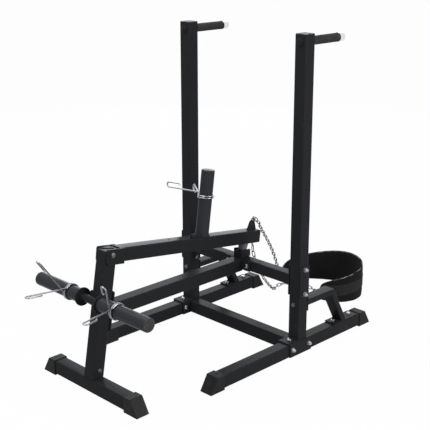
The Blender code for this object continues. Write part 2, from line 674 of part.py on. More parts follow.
def build_braces():
    """Rear braces: a flat arm, a leg to the base tube, a mounting plate and a foot plate."""
    half = TUBE / 2
    face = half + GAP
    foot_top = BASE_TOP + GAP + PLATE
    for side, word in ((-1, "left"), (1, "right")):
        arm_middle = BRACE_ARM_TOP - BRACE_ARM_HEIGHT / 2
        tube = square_tube("Y", face + PLATE / 2, half + BRACE_ARM_REACH, TUBE, BRACE_ARM_HEIGHT)
        node = add("rear_brace_" + word, tube, POWDER_COAT, rig, (side * UPRIGHT_X, 0, arm_middle))
        mount = block((-half, face, BRACE_MOUNT_BOTTOM - arm_middle),
                      (half, face + PLATE, BRACE_MOUNT_TOP - arm_middle))
        join(node, mount)
        leg = bmesh.new()
        rings = []
        ends = ((BRACE_LEG_TOP_Y, BRACE_ARM_TOP - TUBE_WALL / 2), (BRACE_LEG_FOOT_Y, foot_top - PLATE / 2))
        for y, z in ends:
            ring = rounded_ring(TUBE - 0.001, BRACE_LEG_DEPTH, TUBE_CORNER)
            rings.append([Vector((u, y + v, z - arm_middle)) for u, v in ring])
        loft(leg, rings)
        join(node, leg)
        foot = block((-half, BRACE_FOOT_FRONT, BASE_TOP + GAP - arm_middle),
                     (half, BRACE_FOOT_REAR, foot_top - arm_middle))
        join(node, foot)
        cut(node, moved(rod("Y", 0, half + PLATE * 3, BOLT_HOLE), (0, 0, BRACE_BOLT_Z - arm_middle)))
        grip = TUBE + GAP + PLATE
        place = (side * UPRIGHT_X, -half, BRACE_BOLT_Z)
        bolt("brace_bolt_" + word, grip, rig, place, (-math.pi / 2, 0, 0), nut=0.0, stud=NUT_HEIGHT)


def build_stop_seat():
    """Seat on the upper cross tube that the lever's bumper rests in, tilted as the lever is."""
    rest = LEVER_UNDER - BUMPER_HEIGHT - GAP

    def height(y, local):
        """Height at a Y of the plane that lies at a height in the lever's own frame."""
        along = (y - PIVOT_Y - local * math.sin(LEVER_SLOPE)) / math.cos(LEVER_SLOPE)
        return PIVOT_Z - along * math.sin(LEVER_SLOPE) + local * math.cos(LEVER_SLOPE)

    def slab(x0, x1, local):
        """A block on the cross tube between two X, with its top along the lever."""
        front = -SEAT_LENGTH / 2
        rear = SEAT_LENGTH / 2
        outline = [(front, SPINE_TOP + GAP), (rear, SPINE_TOP + GAP), (rear, height(rear, local)),
                   (front, height(front, local))]
        return plate(outline, "X", x0, x1)

    half = SEAT_WIDTH / 2
    node = add("stop_seat", slab(-half, half, rest), POWDER_COAT, rig)
    cheeks = bmesh.new()
    for side in (-1, 1):
        x0, x1 = sorted((side * (half - SEAT_CHEEK), side * half))
        merge(cheeks, slab(x0, x1, rest + SEAT_CHEEK_RISE))
    join(node, cheeks)


def build_lever():
    """Lever arm with its yoke and chain tab, tip plug, weight horn, bumper and pivot bolt."""
    start = YOKE_WEB + YOKE_SHEET / 2
    tube = square_tube("Y", start, LEVER_TIP)
    lever = add("lever_arm", moved(tube, (0, 0, LEVER_TOP - TUBE / 2)), POWDER_COAT, lever_pivot)
    low = LEVER_TOP - YOKE_DEPTH
    yoke = block((-YOKE_OUTSIDE, YOKE_WEB, low), (YOKE_OUTSIDE, YOKE_WEB + YOKE_SHEET, LEVER_TOP))
    outline = [(YOKE_REAR, low), (YOKE_REAR, LEVER_TOP)]
    corners = ((YOKE_TOP_CORNER, LEVER_TOP - YOKE_TOP_CORNER, 90),
               (YOKE_LOW_CORNER, low + YOKE_LOW_CORNER, 180))
    for radius, middle, first in corners:
        for step in range(3):
            angle = math.radians(first + 45 * step)
            y = YOKE_FRONT + radius * (1 + math.cos(angle))
            outline.append((y, middle + radius * math.sin(angle)))
    join(lever, yoke)
    cheeks = bmesh.new()
    for side in (-1, 1):
        x0, x1 = sorted((side * YOKE_INSIDE, side * YOKE_OUTSIDE))
        plate(outline, "X", x0, x1, cheeks)
    join(lever, cheeks)
    crown_z = LEVER_TOP + TAB_HOLE_RISE
    tab_foot = LEVER_TOP - TUBE_WALL / 2
    tab = [(TAB_Y - TAB_BASE / 2, tab_foot), (TAB_Y + TAB_BASE / 2, tab_foot)]
    for step in range(7):
        angle = math.radians(10 + 160 * step / 6)
        tab.append((TAB_Y + TAB_CROWN_RADIUS * math.cos(angle), crown_z + TAB_CROWN_RADIUS * math.sin(angle)))
    join(lever, plate(tab, "X", -TAB_THICKNESS / 2, TAB_THICKNESS / 2))
    holes = rod("X", -TUBE, TUBE, PIVOT_BOLT_RADIUS + BOLT_CLEARANCE)
    merge(holes, moved(rod("X", -TUBE, TUBE, TAB_HOLE_RADIUS), (0, TAB_Y, crown_z)))
    for y in LEVER_HOLES:
        merge(holes, moved(rod("Z", 0, TUBE, LEVER_HOLE_RADIUS, 8), (0, y, 0)))
    cut(lever, holes)
    tube_plug("lever_tip_plug", lever_pivot, (0, LEVER_TIP, LEVER_TOP - TUBE / 2), (-math.pi / 2, 0, 0))
    bolt("pivot_bolt", 2 * YOKE_OUTSIDE, lever_pivot, (YOKE_OUTSIDE, 0, 0), (0, -math.pi / 2, 0),
         PIVOT_BOLT_RADIUS, PIVOT_HEAD_ACROSS, PIVOT_HEAD_HEIGHT, PIVOT_HEAD_HEIGHT, STUD)
    build_weight_horn()
    profile = [(-BUMPER_HEIGHT, BUMPER_FOOT_RADIUS - 0.002), (-BUMPER_HEIGHT + 0.002, BUMPER_FOOT_RADIUS),
               (-0.004, BUMPER_TOP_RADIUS), (-GAP, BUMPER_TOP_RADIUS)]
    add("stop_bumper", turned(profile, 20), RUBBER, lever_pivot, (0, BUMPER_Y, LEVER_UNDER))


def build_weight_horn():
    """Weight horn on the lever: a disc, a sleeve and its plug."""
    place = (0, HORN_Y, LEVER_TOP)
    disc = turned([(GAP, HORN_FLANGE_RADIUS), (GAP + PLATE, HORN_FLANGE_RADIUS)], 24)
    horn = add("weight_horn", disc, POWDER_COAT, lever_pivot, place)
    end = HORN_LENGTH - END_CAP_LIP
    join(horn, round_tube("Z", GAP + PLATE / 2, end, SLEEVE_RADIUS, SLEEVE_WALL))
    sleeve_plug("weight_horn_plug", lever_pivot, (0, HORN_Y, LEVER_TOP + end))


def collar_path(splay, lean=0.0):
    """Centre line of a spring collar: loop, arm, coil, arm, loop, round local Z."""
    wrap = splay + COLLAR_HOOK
    sweep = 1.5 * math.tau + 2 * wrap
    start = 0.75 * math.tau - wrap
    steps = math.ceil(COLLAR_TURN_POINTS * sweep / math.tau)
    radius = COLLAR_RADIUS / math.cos(sweep / steps / 2)
    coil = []
    for i in range(steps + 1):
        angle = start + sweep * i / steps
        rise = COLLAR_PITCH * sweep / math.tau * (i / steps - 0.5)
        coil.append(Vector((radius * math.cos(angle), radius * math.sin(angle), rise)))
    first_way = Vector((math.sin(start), -math.cos(start), 0))
    end = start + sweep
    last_way = Vector((-math.sin(end), math.cos(end), 0))
    tail = collar_handle(coil[-1], last_way, 1, lean)
    head = collar_handle(coil[0], first_way, -1, lean)
    return head[::-1] + coil + tail


def collar_handle(root, first_way, side, lean):
    """Points of one handle from the coil out: a bend, an arm, then a long loop along the axis."""
    inward = Vector((first_way.y, -first_way.x, 0)) * side
    upward = Vector((0, 0, 1))

    def heading(share):
        """The wire's direction at a share of its bend, leaning along the axis as it goes."""
        level = first_way * math.cos(COLLAR_HOOK * share) + inward * math.sin(COLLAR_HOOK * share)
        return level * math.cos(lean * share) + upward * math.sin(lean * share)

    points = []
    here = root
    stride = COLLAR_BEND_RADIUS * COLLAR_HOOK / COLLAR_BEND_STEPS
    for step in range(COLLAR_BEND_STEPS):
        here = here + heading((step + 0.5) / COLLAR_BEND_STEPS) * stride
        points.append(here)
    way = heading(1.0)
    level = Vector((way.x, way.y, 0)).normalized()
    axis = (upward * math.cos(lean) - level * math.sin(lean)) * side
    half = COLLAR_LOOP_WIDTH / 2
    begin = here + way * COLLAR_ARM
    points += [here + way * COLLAR_ARM * 0.5, begin]
    turn_centre = begin + way * (COLLAR_LOOP - half) + axis * half
    for step in range(5):
        angle = math.radians(-90 + 180 * step / 4)
        points.append(turn_centre + way * half * math.cos(angle) + axis * half * math.sin(angle))
    back = begin + way * half + axis * half
    for step in range(3):
        angle = math.radians(90 + 70 * step / 2)
        points.append(back + way * half * math.cos(angle) + axis * half * math.sin(angle))
    return points


def self_gap(points, wire, spare):
    """Least distance between parts of a wire's surface that are not next to each other."""
    least = 1.0
    samples = []
    travelled = 0.0
    for first, second in zip(points, points[1:]):
        length = (second - first).length
        count = max(1, int(length / 0.001))
        for i in range(count):
            samples.append((travelled + length * i / count, first.lerp(second, i / count)))
        travelled += length
    for i, (here, point) in enumerate(samples):
        for there, other in samples[i + 1:]:
            if there - here > spare:
                least = min(least, (point - other).length)
    return least - wire


def wire_object(name, points, thickness, look, parent, location=(0, 0, 0), rotation=(0, 0, 0)):
    """A round wire of one unbroken length along the points."""
    curve = bpy.data.curves.new(name, "CURVE")
    curve.dimensions = "3D"
    curve.bevel_depth = thickness / 2
    curve.bevel_resolution = 1
    curve.use_fill_caps = True
    spline = curve.splines.new("POLY")
    spline.points.add(len(points) - 1)
    for target, point in zip(spline.points, points):
        target.co = (*point, 1.0)
    curve.materials.append(finish(name + "_finish", *look[1:]))
    made = bpy.data.objects.new(name, curve)
    made.parent = parent
    made.location = location
    made.rotation_euler = rotation
    bpy.context.scene.collection.objects.link(made)
    return made


def build_collars():
    """Three spring collars: one on the weight horn and one on each storage sleeve."""
    place = (0, HORN_Y, LEVER_TOP + HORN_COLLAR_RISE)
    collar("collar_horn", collar_path(HORN_COLLAR_SPLAY), lever_pivot, place, (0, 0, HORN_COLLAR_TURN))
    upright = Matrix.Rotation(math.pi / 2, 4, "Z") @ Matrix.Rotation(math.pi / 2, 4, "X")
    left = collar_path(STORAGE_COLLAR_LEFT_SPLAY)
    right = collar_path(STORAGE_COLLAR_RIGHT_SPLAY, STORAGE_COLLAR_RIGHT_LEAN)
    for name, points, x, turn in (("collar_left", left, STORAGE_COLLAR_LEFT_X, STORAGE_COLLAR_LEFT_TURN),
                                  ("collar_right", right, STORAGE_COLLAR_RIGHT_X, STORAGE_COLLAR_RIGHT_TURN)):
        stand = Matrix.Rotation(-turn, 4, "X") @ upright
        collar(name, points, rig, (x, STORAGE_Y, STORAGE_Z), stand.to_euler())


def collar(name, points, parent, location, rotation):
    """One spring collar along its points, with the room between its own turns printed."""
    print(name, "least self gap mm", round(1000 * self_gap(points, COLLAR_WIRE, 4 * COLLAR_WIRE), 2))
    wire_object(name, points, COLLAR_WIRE, CHROME, parent, location, rotation)


def smooth_route(knots, spacing):
    """Evenly spaced points on a Catmull-Rom curve through the knots."""
    padded = [knots[0] * 2 - knots[1]] + list(knots) + [knots[-1] * 2 - knots[-2]]
    dense = []
    for a, b, c, d in zip(padded, padded[1:], padded[2:], padded[3:]):
        for i in range(40):
            t = i / 40
            bow = (2 * a - 5 * b + 4 * c - d) * t * t + (3 * b - a - 3 * c + d) * t ** 3
            dense.append(0.5 * (2 * b + (c - a) * t + bow))
    dense.append(knots[-1])
    lengths = [0.0]
    for first, second in zip(dense, dense[1:]):
        lengths.append(lengths[-1] + (second - first).length)
    count = max(1, round(lengths[-1] / spacing))
    route = []
    place = 0
    for i in range(count + 1):
        wanted = lengths[-1] * i / count
        while place < len(lengths) - 2 and lengths[place + 1] < wanted:
            place += 1
        span = max(lengths[place + 1] - lengths[place], 1e-9)
        route.append(dense[place].lerp(dense[place + 1], (wanted - lengths[place]) / span))
    return route


def link_mesh(builder, first, second, roll):
    """One chain link between two joint points, its flat turned by roll about its length."""
    way = (second - first).normalized()
    side = way.cross(Vector((0, 0, 1)))
    side = side.normalized() if side.length > 0.05 else Vector((1, 0, 0))
    flat = Matrix.Rotation(roll, 3, way) @ side
    normal = way.cross(flat)
    middle = (first + second) / 2
    radius = (LINK_WIDTH - WIRE) / 2
    straight = (second - first).length / 2 + (WIRE - LINK_BITE) / 2 - radius
    path = []
    for end in (1, -1):
        for step in range(5):
            angle = math.radians(45 * step - 90 * end)
            along = end * straight + radius * math.cos(angle)
            path.append(middle + way * along + flat * radius * math.sin(angle))
    rings = []
    count = len(path)
    for i, point in enumerate(path):
        along = (path[(i + 1) % count] - path[i - 1]).normalized()
        outward = along.cross(normal).normalized()
        ring = [point + (outward * u + normal * v) for u, v in circle_ring(WIRE / 2, LINK_SIDES, math.pi)]
        rings.append([builder.verts.new(corner) for corner in ring])
    bridge_round(builder, rings)


def bridge_round(builder, rings):
    """Bridges rings of corners in order, and the last one with the first."""
    sides = len(rings[0])
    for here, ahead in zip(rings, rings[1:] + rings[:1]):
        for j in range(sides):
            builder.faces.new((here[j], here[(j + 1) % sides], ahead[(j + 1) % sides], ahead[j]))


def chain(name, route, rolls, rings, parent):
    """A chain strand: its links along a route, each caught in the next, and rings at its ends."""
    odd, even = bmesh.new(), bmesh.new()
    for i, (first, second) in enumerate(zip(route, route[1:])):
        link_mesh(even if i % 2 else odd, first, second, rolls[i])
    for ring, at_start in rings:
        ring_mesh(even if at_start or len(route) % 2 == 0 else odd, *ring)
    node = add(name, odd, CHAIN_STEEL, parent)
    join(node, even)
    return node


def ring_point(centre, radius, tilt, heading):
    """Point at a heading round a ring whose plane holds X and is tilted up from level."""
    return centre + radius * Vector((math.cos(heading), math.sin(heading) * math.cos(tilt),
                                     math.sin(heading) * math.sin(tilt)))


def ring_mesh(builder, centre, radius, tilt):
    """A closed steel ring whose plane holds X and is tilted up from level."""
    normal = Vector((0, -math.sin(tilt), math.cos(tilt)))
    count = 14
    rings = []
    for i in range(count):
        way = (ring_point(centre, radius, tilt, math.tau * i / count) - centre).normalized()
        rings.append([builder.verts.new(centre + way * (radius + u) + normal * v)
                      for u, v in circle_ring(WIRE / 2, RING_SIDES)])
    bridge_round(builder, rings)


BELT_PLAN = [(0.022, 0.466), (0.062, 0.482), (0.100, 0.504), (0.122, 0.535), (0.131, 0.575),
             (0.121, 0.625), (0.088, 0.668), (0.040, 0.695), (-0.010, 0.706), (-0.062, 0.698),
             (-0.115, 0.672), (-0.170, 0.633), (-0.212, 0.596), (-0.236, 0.556), (-0.241, 0.515)]


def build_belt():
    """Hip belt: a stiff band standing on the floor in an open loop, wider in its middle."""
    route = smooth_route([Vector((x, y, 0.0)) for x, y in BELT_PLAN], 0.022)
    count = len(route) - 1
    builder = bmesh.new()
    rings = []
    half = BELT_THICKNESS / 2
    for i, point in enumerate(route):
        share = i / count
        ahead = route[min(i + 1, count)] - route[max(i - 1, 0)]
        normal = Vector((ahead.y, -ahead.x, 0)).normalized()
        swell = math.sin(math.pi * share) ** 0.7 if 0 < share < 1 else 0.0
        height = BELT_END_HEIGHT + (BELT_MIDDLE_HEIGHT - BELT_END_HEIGHT) * swell
        section = [(half, 0.0), (half, height - half), (0.0, height), (-half, height - half), (-half, 0.0)]
        rings.append([point + normal * u + Vector((0, 0, v)) for u, v in section])
    loft(builder, rings)
    belt = add("hip_belt", builder, BELT_CLOTH, rig)
    holes = bmesh.new()
    ends = []
    for end, inner in ((route[0], route[1]), (route[-1], route[-2])):
        inward = (inner - end).normalized()
        across = Vector((inward.y, -inward.x, 0))
        spot = end + inward * BELT_HOLE_INSET + Vector((0, 0, BELT_END_HEIGHT / 2))
        bore = rod("X", -0.02, 0.02, BELT_HOLE_RADIUS, 10)
        facing = Matrix.Rotation(math.atan2(across.y, across.x), 3, "Z")
        bmesh.ops.rotate(bore, verts=bore.verts, matrix=facing)
        merge(holes, moved(bore, spot))
        ends.append((end + Vector((0, 0, BELT_END_HEIGHT / 2)), -inward))
    cut(belt, holes)
    return ends


def build_chains(ends):
    """Ring in the lever's tab, and two strands from it, each with a ring in one end of the belt."""
    turn = Matrix.Rotation(-LEVER_SLOPE, 3, "X")
    hole = Vector((0, PIVOT_Y, PIVOT_Z)) + turn @ Vector((0, TAB_Y, LEVER_TOP + TAB_HOLE_RISE))
    reach = TAB_RING_RADIUS - TAB_HOLE_RADIUS + WIRE / 2 + POCKET_CLEARANCE
    hub = hole + reach * Vector((0, math.cos(TAB_RING_TILT), math.sin(TAB_RING_TILT)))
    (right_end, right_way), (left_end, left_way) = ends
    tab_ring = (hub, TAB_RING_RADIUS, TAB_RING_TILT)
    right_ring = (right_end + right_way * BELT_RING_OFFSET, BELT_RING_RADIUS, 0.0)
    left_ring = (left_end + left_way * BELT_RING_OFFSET, BELT_RING_RADIUS, 0.0)

    def eye(ring, heading, aim, slack):
        """Joint point of a link that is caught on a ring's wire at a heading and pulls towards a point."""
        wire = ring_point(*ring, math.radians(heading))
        return wire - (aim - wire).normalized() * (WIRE / 2 + slack)

    tight = -LINK_BITE / 2
    loose = LINK_BITE / 2 + TAB_RING_PLAY
    bends = ((-0.004, 0.098, 0.428), (-0.030, 0.140, 0.389), (-0.135, 0.328, 0.224))
    bends = [Vector(bend) for bend in bends]
    top = eye(tab_ring, 75, bends[0], tight)
    low = eye(left_ring, -68, bends[-1], tight)
    left = smooth_route([top] + bends + [low], LINK_PITCH)
    rolls = [math.pi / 2 * (i % 2 + 1) for i in range(len(left))]
    chain("chain_left", left, rolls, [(tab_ring, True), (left_ring, False)], rig)
    bends = [(-0.025, 0.086, 0.437), (-0.040, 0.098, 0.408), (-0.045, 0.101, 0.370), (-0.043, 0.107, 0.312),
             (-0.050, 0.127, 0.257), (-0.088, 0.219, 0.145), (-0.115, 0.271, 0.100), (-0.148, 0.334, 0.052),
             (-0.183, 0.400, CHAIN_REST + 0.004), (-0.206, 0.446, CHAIN_REST), (-0.203, 0.488, CHAIN_REST),
             (-0.172, 0.522, CHAIN_REST), (-0.122, 0.538, CHAIN_REST), (-0.070, 0.528, CHAIN_REST),
             (-0.028, 0.497, 0.017)]
    bends = [Vector(bend) for bend in bends]
    top = eye(tab_ring, 126, bends[0], loose)
    low = eye(right_ring, 153, bends[-1], tight)
    right = smooth_route([top] + bends + [low], LINK_PITCH)
    lying = [math.pi / 4 if point.z < 2 * CHAIN_REST else 0.0 for point in right]
    rolls = [math.pi / 2 * (i % 2 + 1) + roll for i, roll in enumerate(lying)]
    chain("chain_right", right, rolls, [(right_ring, False)], rig)


build_front_foot()
build_front_post()
build_storage_horns()
build_spine()
build_base()
build_upper_cross()
build_uprights()
build_handles()
build_braces()
build_stop_seat()
build_lever()
build_collars()
build_chains(build_belt())
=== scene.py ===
"""Looks of a lever arm belt squat machine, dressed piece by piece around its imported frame.

All sizes are in metres. +Y runs from the front post to the uprights, +Z is up and the floor is at 0.
"""

import logging
import math
from dataclasses import dataclass, field
from enum import Enum
from typing import Any, Callable, Iterable, Sequence

import bmesh
import bpy
from mathutils import Matrix, Vector, noise


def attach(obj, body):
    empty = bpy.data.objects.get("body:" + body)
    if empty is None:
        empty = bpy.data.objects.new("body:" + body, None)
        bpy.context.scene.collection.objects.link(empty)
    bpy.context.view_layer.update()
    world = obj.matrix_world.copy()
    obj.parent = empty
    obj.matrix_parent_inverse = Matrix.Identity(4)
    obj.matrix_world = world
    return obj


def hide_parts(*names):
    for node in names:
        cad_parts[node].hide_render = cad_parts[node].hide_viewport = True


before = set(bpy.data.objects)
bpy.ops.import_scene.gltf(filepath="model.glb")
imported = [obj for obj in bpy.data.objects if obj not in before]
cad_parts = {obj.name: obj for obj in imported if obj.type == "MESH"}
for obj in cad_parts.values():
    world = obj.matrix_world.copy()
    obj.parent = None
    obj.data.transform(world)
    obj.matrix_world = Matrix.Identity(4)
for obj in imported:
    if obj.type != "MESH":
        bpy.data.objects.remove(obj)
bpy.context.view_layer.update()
LOG = logging.getLogger("machine")

Point = tuple[float, float, float]
Colour = tuple[float, float, float]
Profile = Sequence[tuple[float, float]]

# Places that several pieces share
UPRIGHT_X = 0.2925
TUBE = 0.050
GAP = 0.0003
BASE_TOP = 0.055
POST_LEAN = math.radians(10.0)
RIG = Matrix.Translation((0.0, 0.1155, 0.0))
PIVOT = Vector((0.0, -0.668174, 0.4907))
LEVER_SLOPE = math.radians(7.92)
LEVER_TOP = 0.0197
HORN_Y = 0.4515
HORN_LENGTH = 0.246
STORAGE_Y = -0.73956
STORAGE_Z = 0.338
STORAGE_END = 0.294
PLATE_TOP = 0.0606
CROSS_Z = 0.2905
ARM = RIG @ Matrix.Translation(PIVOT) @ Matrix.Rotation(-LEVER_SLOPE, 4, "X")
SLEEVE_RADIUS = 0.025
SLEEVE_WALL = 0.003
SIDES = ((-1, "left"), (1, "right"))


class Body(Enum):
    """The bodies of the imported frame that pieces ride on."""

    FRAME = "frame"
    LEVER = "lever"
    BELT = "belt"
    HORN_COLLAR = "horn_collar"
    LEFT_COLLAR = "left_collar"
    RIGHT_COLLAR = "right_collar"


class Slot(Enum):
    """The record's material slots."""

    POWDER = "powder_coat"
    RUBBER = "rubber"
    PLASTIC = "cap_plastic"
    ZINC = "zinc"
    CHROME = "chrome"
    COLLAR = "collar_steel"
    CHAIN = "chain_steel"
    CLOTH = "belt_cloth"


class Facing(Enum):
    """Directions that a piece's local Z can be turned to."""

    UP = (0.0, 0.0, 1.0)
    DOWN = (0.0, 0.0, -1.0)
    LEFT = (-1.0, 0.0, 0.0)
    RIGHT = (1.0, 0.0, 0.0)
    FRONT = (0.0, -1.0, 0.0)
    REAR = (0.0, 1.0, 0.0)

    def at(self, place: Sequence[float], base: Matrix = RIG) -> Matrix:
        """The matrix that stands a piece at a place in a frame.

        Args:
            place: Where the piece's origin goes.
            base: The frame that the place is given in.

        Returns:
            The matrix from the piece's own frame to the world.
        """
        turn = Vector(self.value).to_track_quat("Z", "Y").to_matrix().to_4x4()
        return base @ Matrix.Translation(place) @ turn


@dataclass(frozen=True)
class Num:
    """A shader socket that holds a number, with Python's operators."""

    tree: bpy.types.NodeTree
    socket: bpy.types.NodeSocket

    def _math(self, operation: str, *values: Any) -> "Num":
        """Adds one Math node.

        Args:
            operation: The node's operation.
            values: Numbers or other Nums, in the order of the node's sockets.

        Returns:
            The node's result.
        """
        node = self.tree.nodes.new("ShaderNodeMath")
        node.operation = operation
        for target, value in zip(node.inputs, values):
            if isinstance(value, Num):
                self.tree.links.new(value.socket, target)
            else:
                target.default_value = value
        return Num(self.tree, node.outputs[0])

    def __add__(self, other: Any) -> "Num":
        """Sum."""
        return self._math("ADD", self, other)

    def __radd__(self, other: Any) -> "Num":
        """Sum with the number first."""
        return self._math("ADD", other, self)

    def __sub__(self, other: Any) -> "Num":
        """Difference."""
        return self._math("SUBTRACT", self, other)

    def __rsub__(self, other: Any) -> "Num":
        """Difference with the number first."""
        return self._math("SUBTRACT", other, self)

    def __mul__(self, other: Any) -> "Num":
        """Product."""
        return self._math("MULTIPLY", self, other)

    def __rmul__(self, other: Any) -> "Num":
        """Product with the number first."""
        return self._math("MULTIPLY", other, self)

    def sine(self) -> "Num":
        """Sine."""
        return self._math("SINE", self)

    def either(self, other: Any) -> "Num":
        """The larger of two."""
        return self._math("MAXIMUM", self, other)

    def step(self, low: float, high: float) -> "Num":
        """A smooth step from 0 to 1.

        Args:
            low: The value at which it starts.
            high: The value at which it ends.

        Returns:
            The step's result.
        """
        node = Nodes(self.tree).node("ShaderNodeMapRange", {"interpolation_type": "SMOOTHSTEP"},
                                     {"Value": self, "From Min": low, "From Max": high})
        return Num(self.tree, node.outputs["Result"])


class Nodes:
    """A node tree that takes new nodes."""

    def __init__(self, tree: bpy.types.NodeTree) -> None:
        """Takes the tree."""
        self.tree = tree

    def node(self, kind: str, settings: dict[str, Any] | None = None,
             inputs: dict[str | int, Any] | None = None) -> bpy.types.Node:
        """Adds a node.

        Args:
            kind: The node's type.
            settings: Its own settings, set first.
            inputs: Values or links for its sockets.

        Returns:
            The node.
        """
        made = self.tree.nodes.new(kind)
        for key, value in (settings or {}).items():
            setattr(made, key, value)
        for key, value in (inputs or {}).items():
            self.feed(made.inputs[key], value)
        return made

    def feed(self, socket: bpy.types.NodeSocket, value: Any) -> None:
        """Sets a socket's value, or links something to it.

        Args:
            socket: The socket.
            value: A number, a colour, a Num or another socket.
        """
        if isinstance(value, Num):
            self.tree.links.new(value.socket, socket)
        elif isinstance(value, bpy.types.NodeSocket):
            self.tree.links.new(value, socket)
        elif hasattr(value, "__len__") and len(value) == 3 and socket.type == "RGBA":
            socket.default_value = (*value, 1.0)
        else:
            socket.default_value = value

    def seen(self) -> Num:
        """Tells what the room is looked at by.

        Returns:
            1 for rays that meet the room directly, in a reflection or through glass, and 0 for its light.
        """
        path = self.node("ShaderNodeLightPath")
        direct, mirrored, through = (Num(self.tree, path.outputs["Is " + kind + " Ray"])
                                     for kind in ("Camera", "Glossy", "Transmission"))
        return direct.either(mirrored).either(through)


class Paint(Nodes):
    """One material's node tree, ending in a Principled shader."""

    def __init__(self, name: str) -> None:
        """Starts an empty material.

        Args:
            name: The material's name.
        """
        self.material = bpy.data.materials.new(name)
        self.material.use_nodes = True
        super().__init__(self.material.node_tree)
        self.shader = self.tree.nodes["Principled BSDF"]

    def set(self, **values: Any) -> None:
        """Feeds the shader's own sockets.

        Args:
            values: One for each socket, its name in lower case with underscores.
        """
        for key, value in values.items():
            self.feed(self.shader.inputs[key.replace("_", " ").title().replace("Ior", "IOR")], value)

    def place(self, uv: bool = False) -> bpy.types.NodeSocket:
        """Where a point is, in metres: on the object, or on the piece's own cloth map."""
        return self.node("ShaderNodeTexCoord").outputs["UV" if uv else "Object"]

    def grain(self, size: float, detail: float = 2.0, stretch: Sequence[float] = (1.0, 1.0, 1.0),
              uv: bool = False) -> Num:
        """Noise whose lumps are about as large as the size.

        Args:
            size: A lump's size in metres.
            detail: Octaves of the noise.
            stretch: How much finer it is along each axis.
            uv: Reads the piece's cloth map in place of its Object coordinates.

        Returns:
            The noise, about 0.5 on average.
        """
        scaled = self.node("ShaderNodeMapping", None, {"Vector": self.place(uv), "Scale": tuple(stretch)})
        made = self.node("ShaderNodeTexNoise", None,
                         {"Vector": scaled.outputs["Vector"], "Scale": 1.0 / size, "Detail": detail})
        return Num(self.tree, made.outputs["Fac"])

    def blend(self, mask: Num, first: Any, second: Any) -> bpy.types.NodeSocket:
        """A colour between two.

        Args:
            mask: 0 for the first colour and 1 for the second.
            first: A colour or a colour socket.
            second: A colour or a colour socket.

        Returns:
            The mixed colour's socket.
        """
        return self.node("ShaderNodeMix", {"data_type": "RGBA"}, {0: mask, 6: first, 7: second}).outputs[2]

    def bump(self, height: Num, depth: float, strength: float = 1.0) -> None:
        """Raises the surface.

        Args:
            height: The relief, from 0 to 1.
            depth: What 1 stands for, in metres.
            strength: How much of it shows.
        """
        made = self.node("ShaderNodeBump", None, {"Height": height, "Distance": depth, "Strength": strength})
        self.set(normal=made.outputs["Normal"])


@dataclass(frozen=True)
class Finish:
    """A finish that is painted once and shared by the pieces that have it."""

    name: str

    def material(self) -> bpy.types.Material:
        """The finish's material, made the first time that it is asked for.

        Returns:
            The material.
        """
        found = bpy.data.materials.get(self.name)
        if found:
            return found
        paint = Paint(self.name)
        self.apply(paint)
        return paint.material

    def apply(self, paint: Paint) -> None:
        """Builds the nodes on a new tree."""
        raise NotImplementedError


@dataclass(frozen=True)
class PowderCoat(Finish):
    """Satin black powder coat with a fine orange peel, faint scuffs and dust."""

    colour: Colour = (0.0148, 0.0151, 0.0168)
    scuff: Colour = (0.030, 0.0305, 0.033)
    roughness: float = 0.26
    specular: float = 0.016
    peel: float = 0.0016
    patches: float = 0.09
    scuffs: float = 0.012
    dust: float = 0.0035

    def apply(self, paint: Paint) -> None:
        """Builds the nodes.

        Args:
            paint: The material's tree.
        """
        peel = paint.grain(self.peel, 1.0)
        cloud = paint.grain(self.patches, 3.0)
        scuffs = paint.grain(self.scuffs, 4.0, (1.0, 1.0, 0.25)).step(0.60, 0.74) * cloud.step(0.45, 0.65)
        dust = paint.grain(self.dust, 3.0).step(0.55, 0.80)
        tone = paint.blend(scuffs * 0.55, self.colour, self.scuff)
        paint.set(base_color=paint.blend(dust * 0.25, tone, self.scuff),
                  roughness=self.roughness + 0.10 * cloud - 0.05 + scuffs * 0.08,
                  specular_ior_level=self.specular)
        paint.bump(peel, 0.00008, 0.30)


@dataclass(frozen=True)
class Moulded(Finish):
    """Moulded rubber or plastic with a fine spark texture and grey dust."""

    colour: Colour = (0.020, 0.020, 0.021)
    dust: Colour = (0.075, 0.075, 0.074)
    roughness: float = 0.62
    specular: float = 0.35
    spark: float = 0.0009
    depth: float = 0.00010
    patches: float = 0.030

    def apply(self, paint: Paint) -> None:
        """Builds the nodes.

        Args:
            paint: The material's tree.
        """
        spark = paint.grain(self.spark, 2.0)
        cloud = paint.grain(self.patches, 4.0)
        worn = cloud.step(0.45, 0.80)
        paint.set(base_color=paint.blend(worn * 0.35, self.colour, self.dust),
                  roughness=self.roughness + 0.14 * cloud - 0.07,
                  specular_ior_level=self.specular)
        paint.bump(spark, self.depth, 0.45)


@dataclass(frozen=True)
class Metal(Finish):
    """Bare or plated steel with fine marks, cloudy patches and tarnish."""

    colour: Colour = (0.62, 0.62, 0.63)
    tarnish: Colour = (0.34, 0.33, 0.31)
    roughness: float = 0.28
    marks: float = 0.0006
    relief: float = 0.00004
    patches: float = 0.006
    tarnished: float = 0.35

    def apply(self, paint: Paint) -> None:
        """Builds the nodes.

        Args:
            paint: The material's tree.
        """
        marks = paint.grain(self.marks, 2.0)
        cloud = paint.grain(self.patches, 3.0)
        patch = cloud.step(0.45, 0.75) * self.tarnished
        paint.set(base_color=paint.blend(patch, self.colour, self.tarnish), metallic=1.0,
                  roughness=self.roughness + 0.16 * cloud - 0.08)
        paint.bump(marks, self.relief, 0.35)


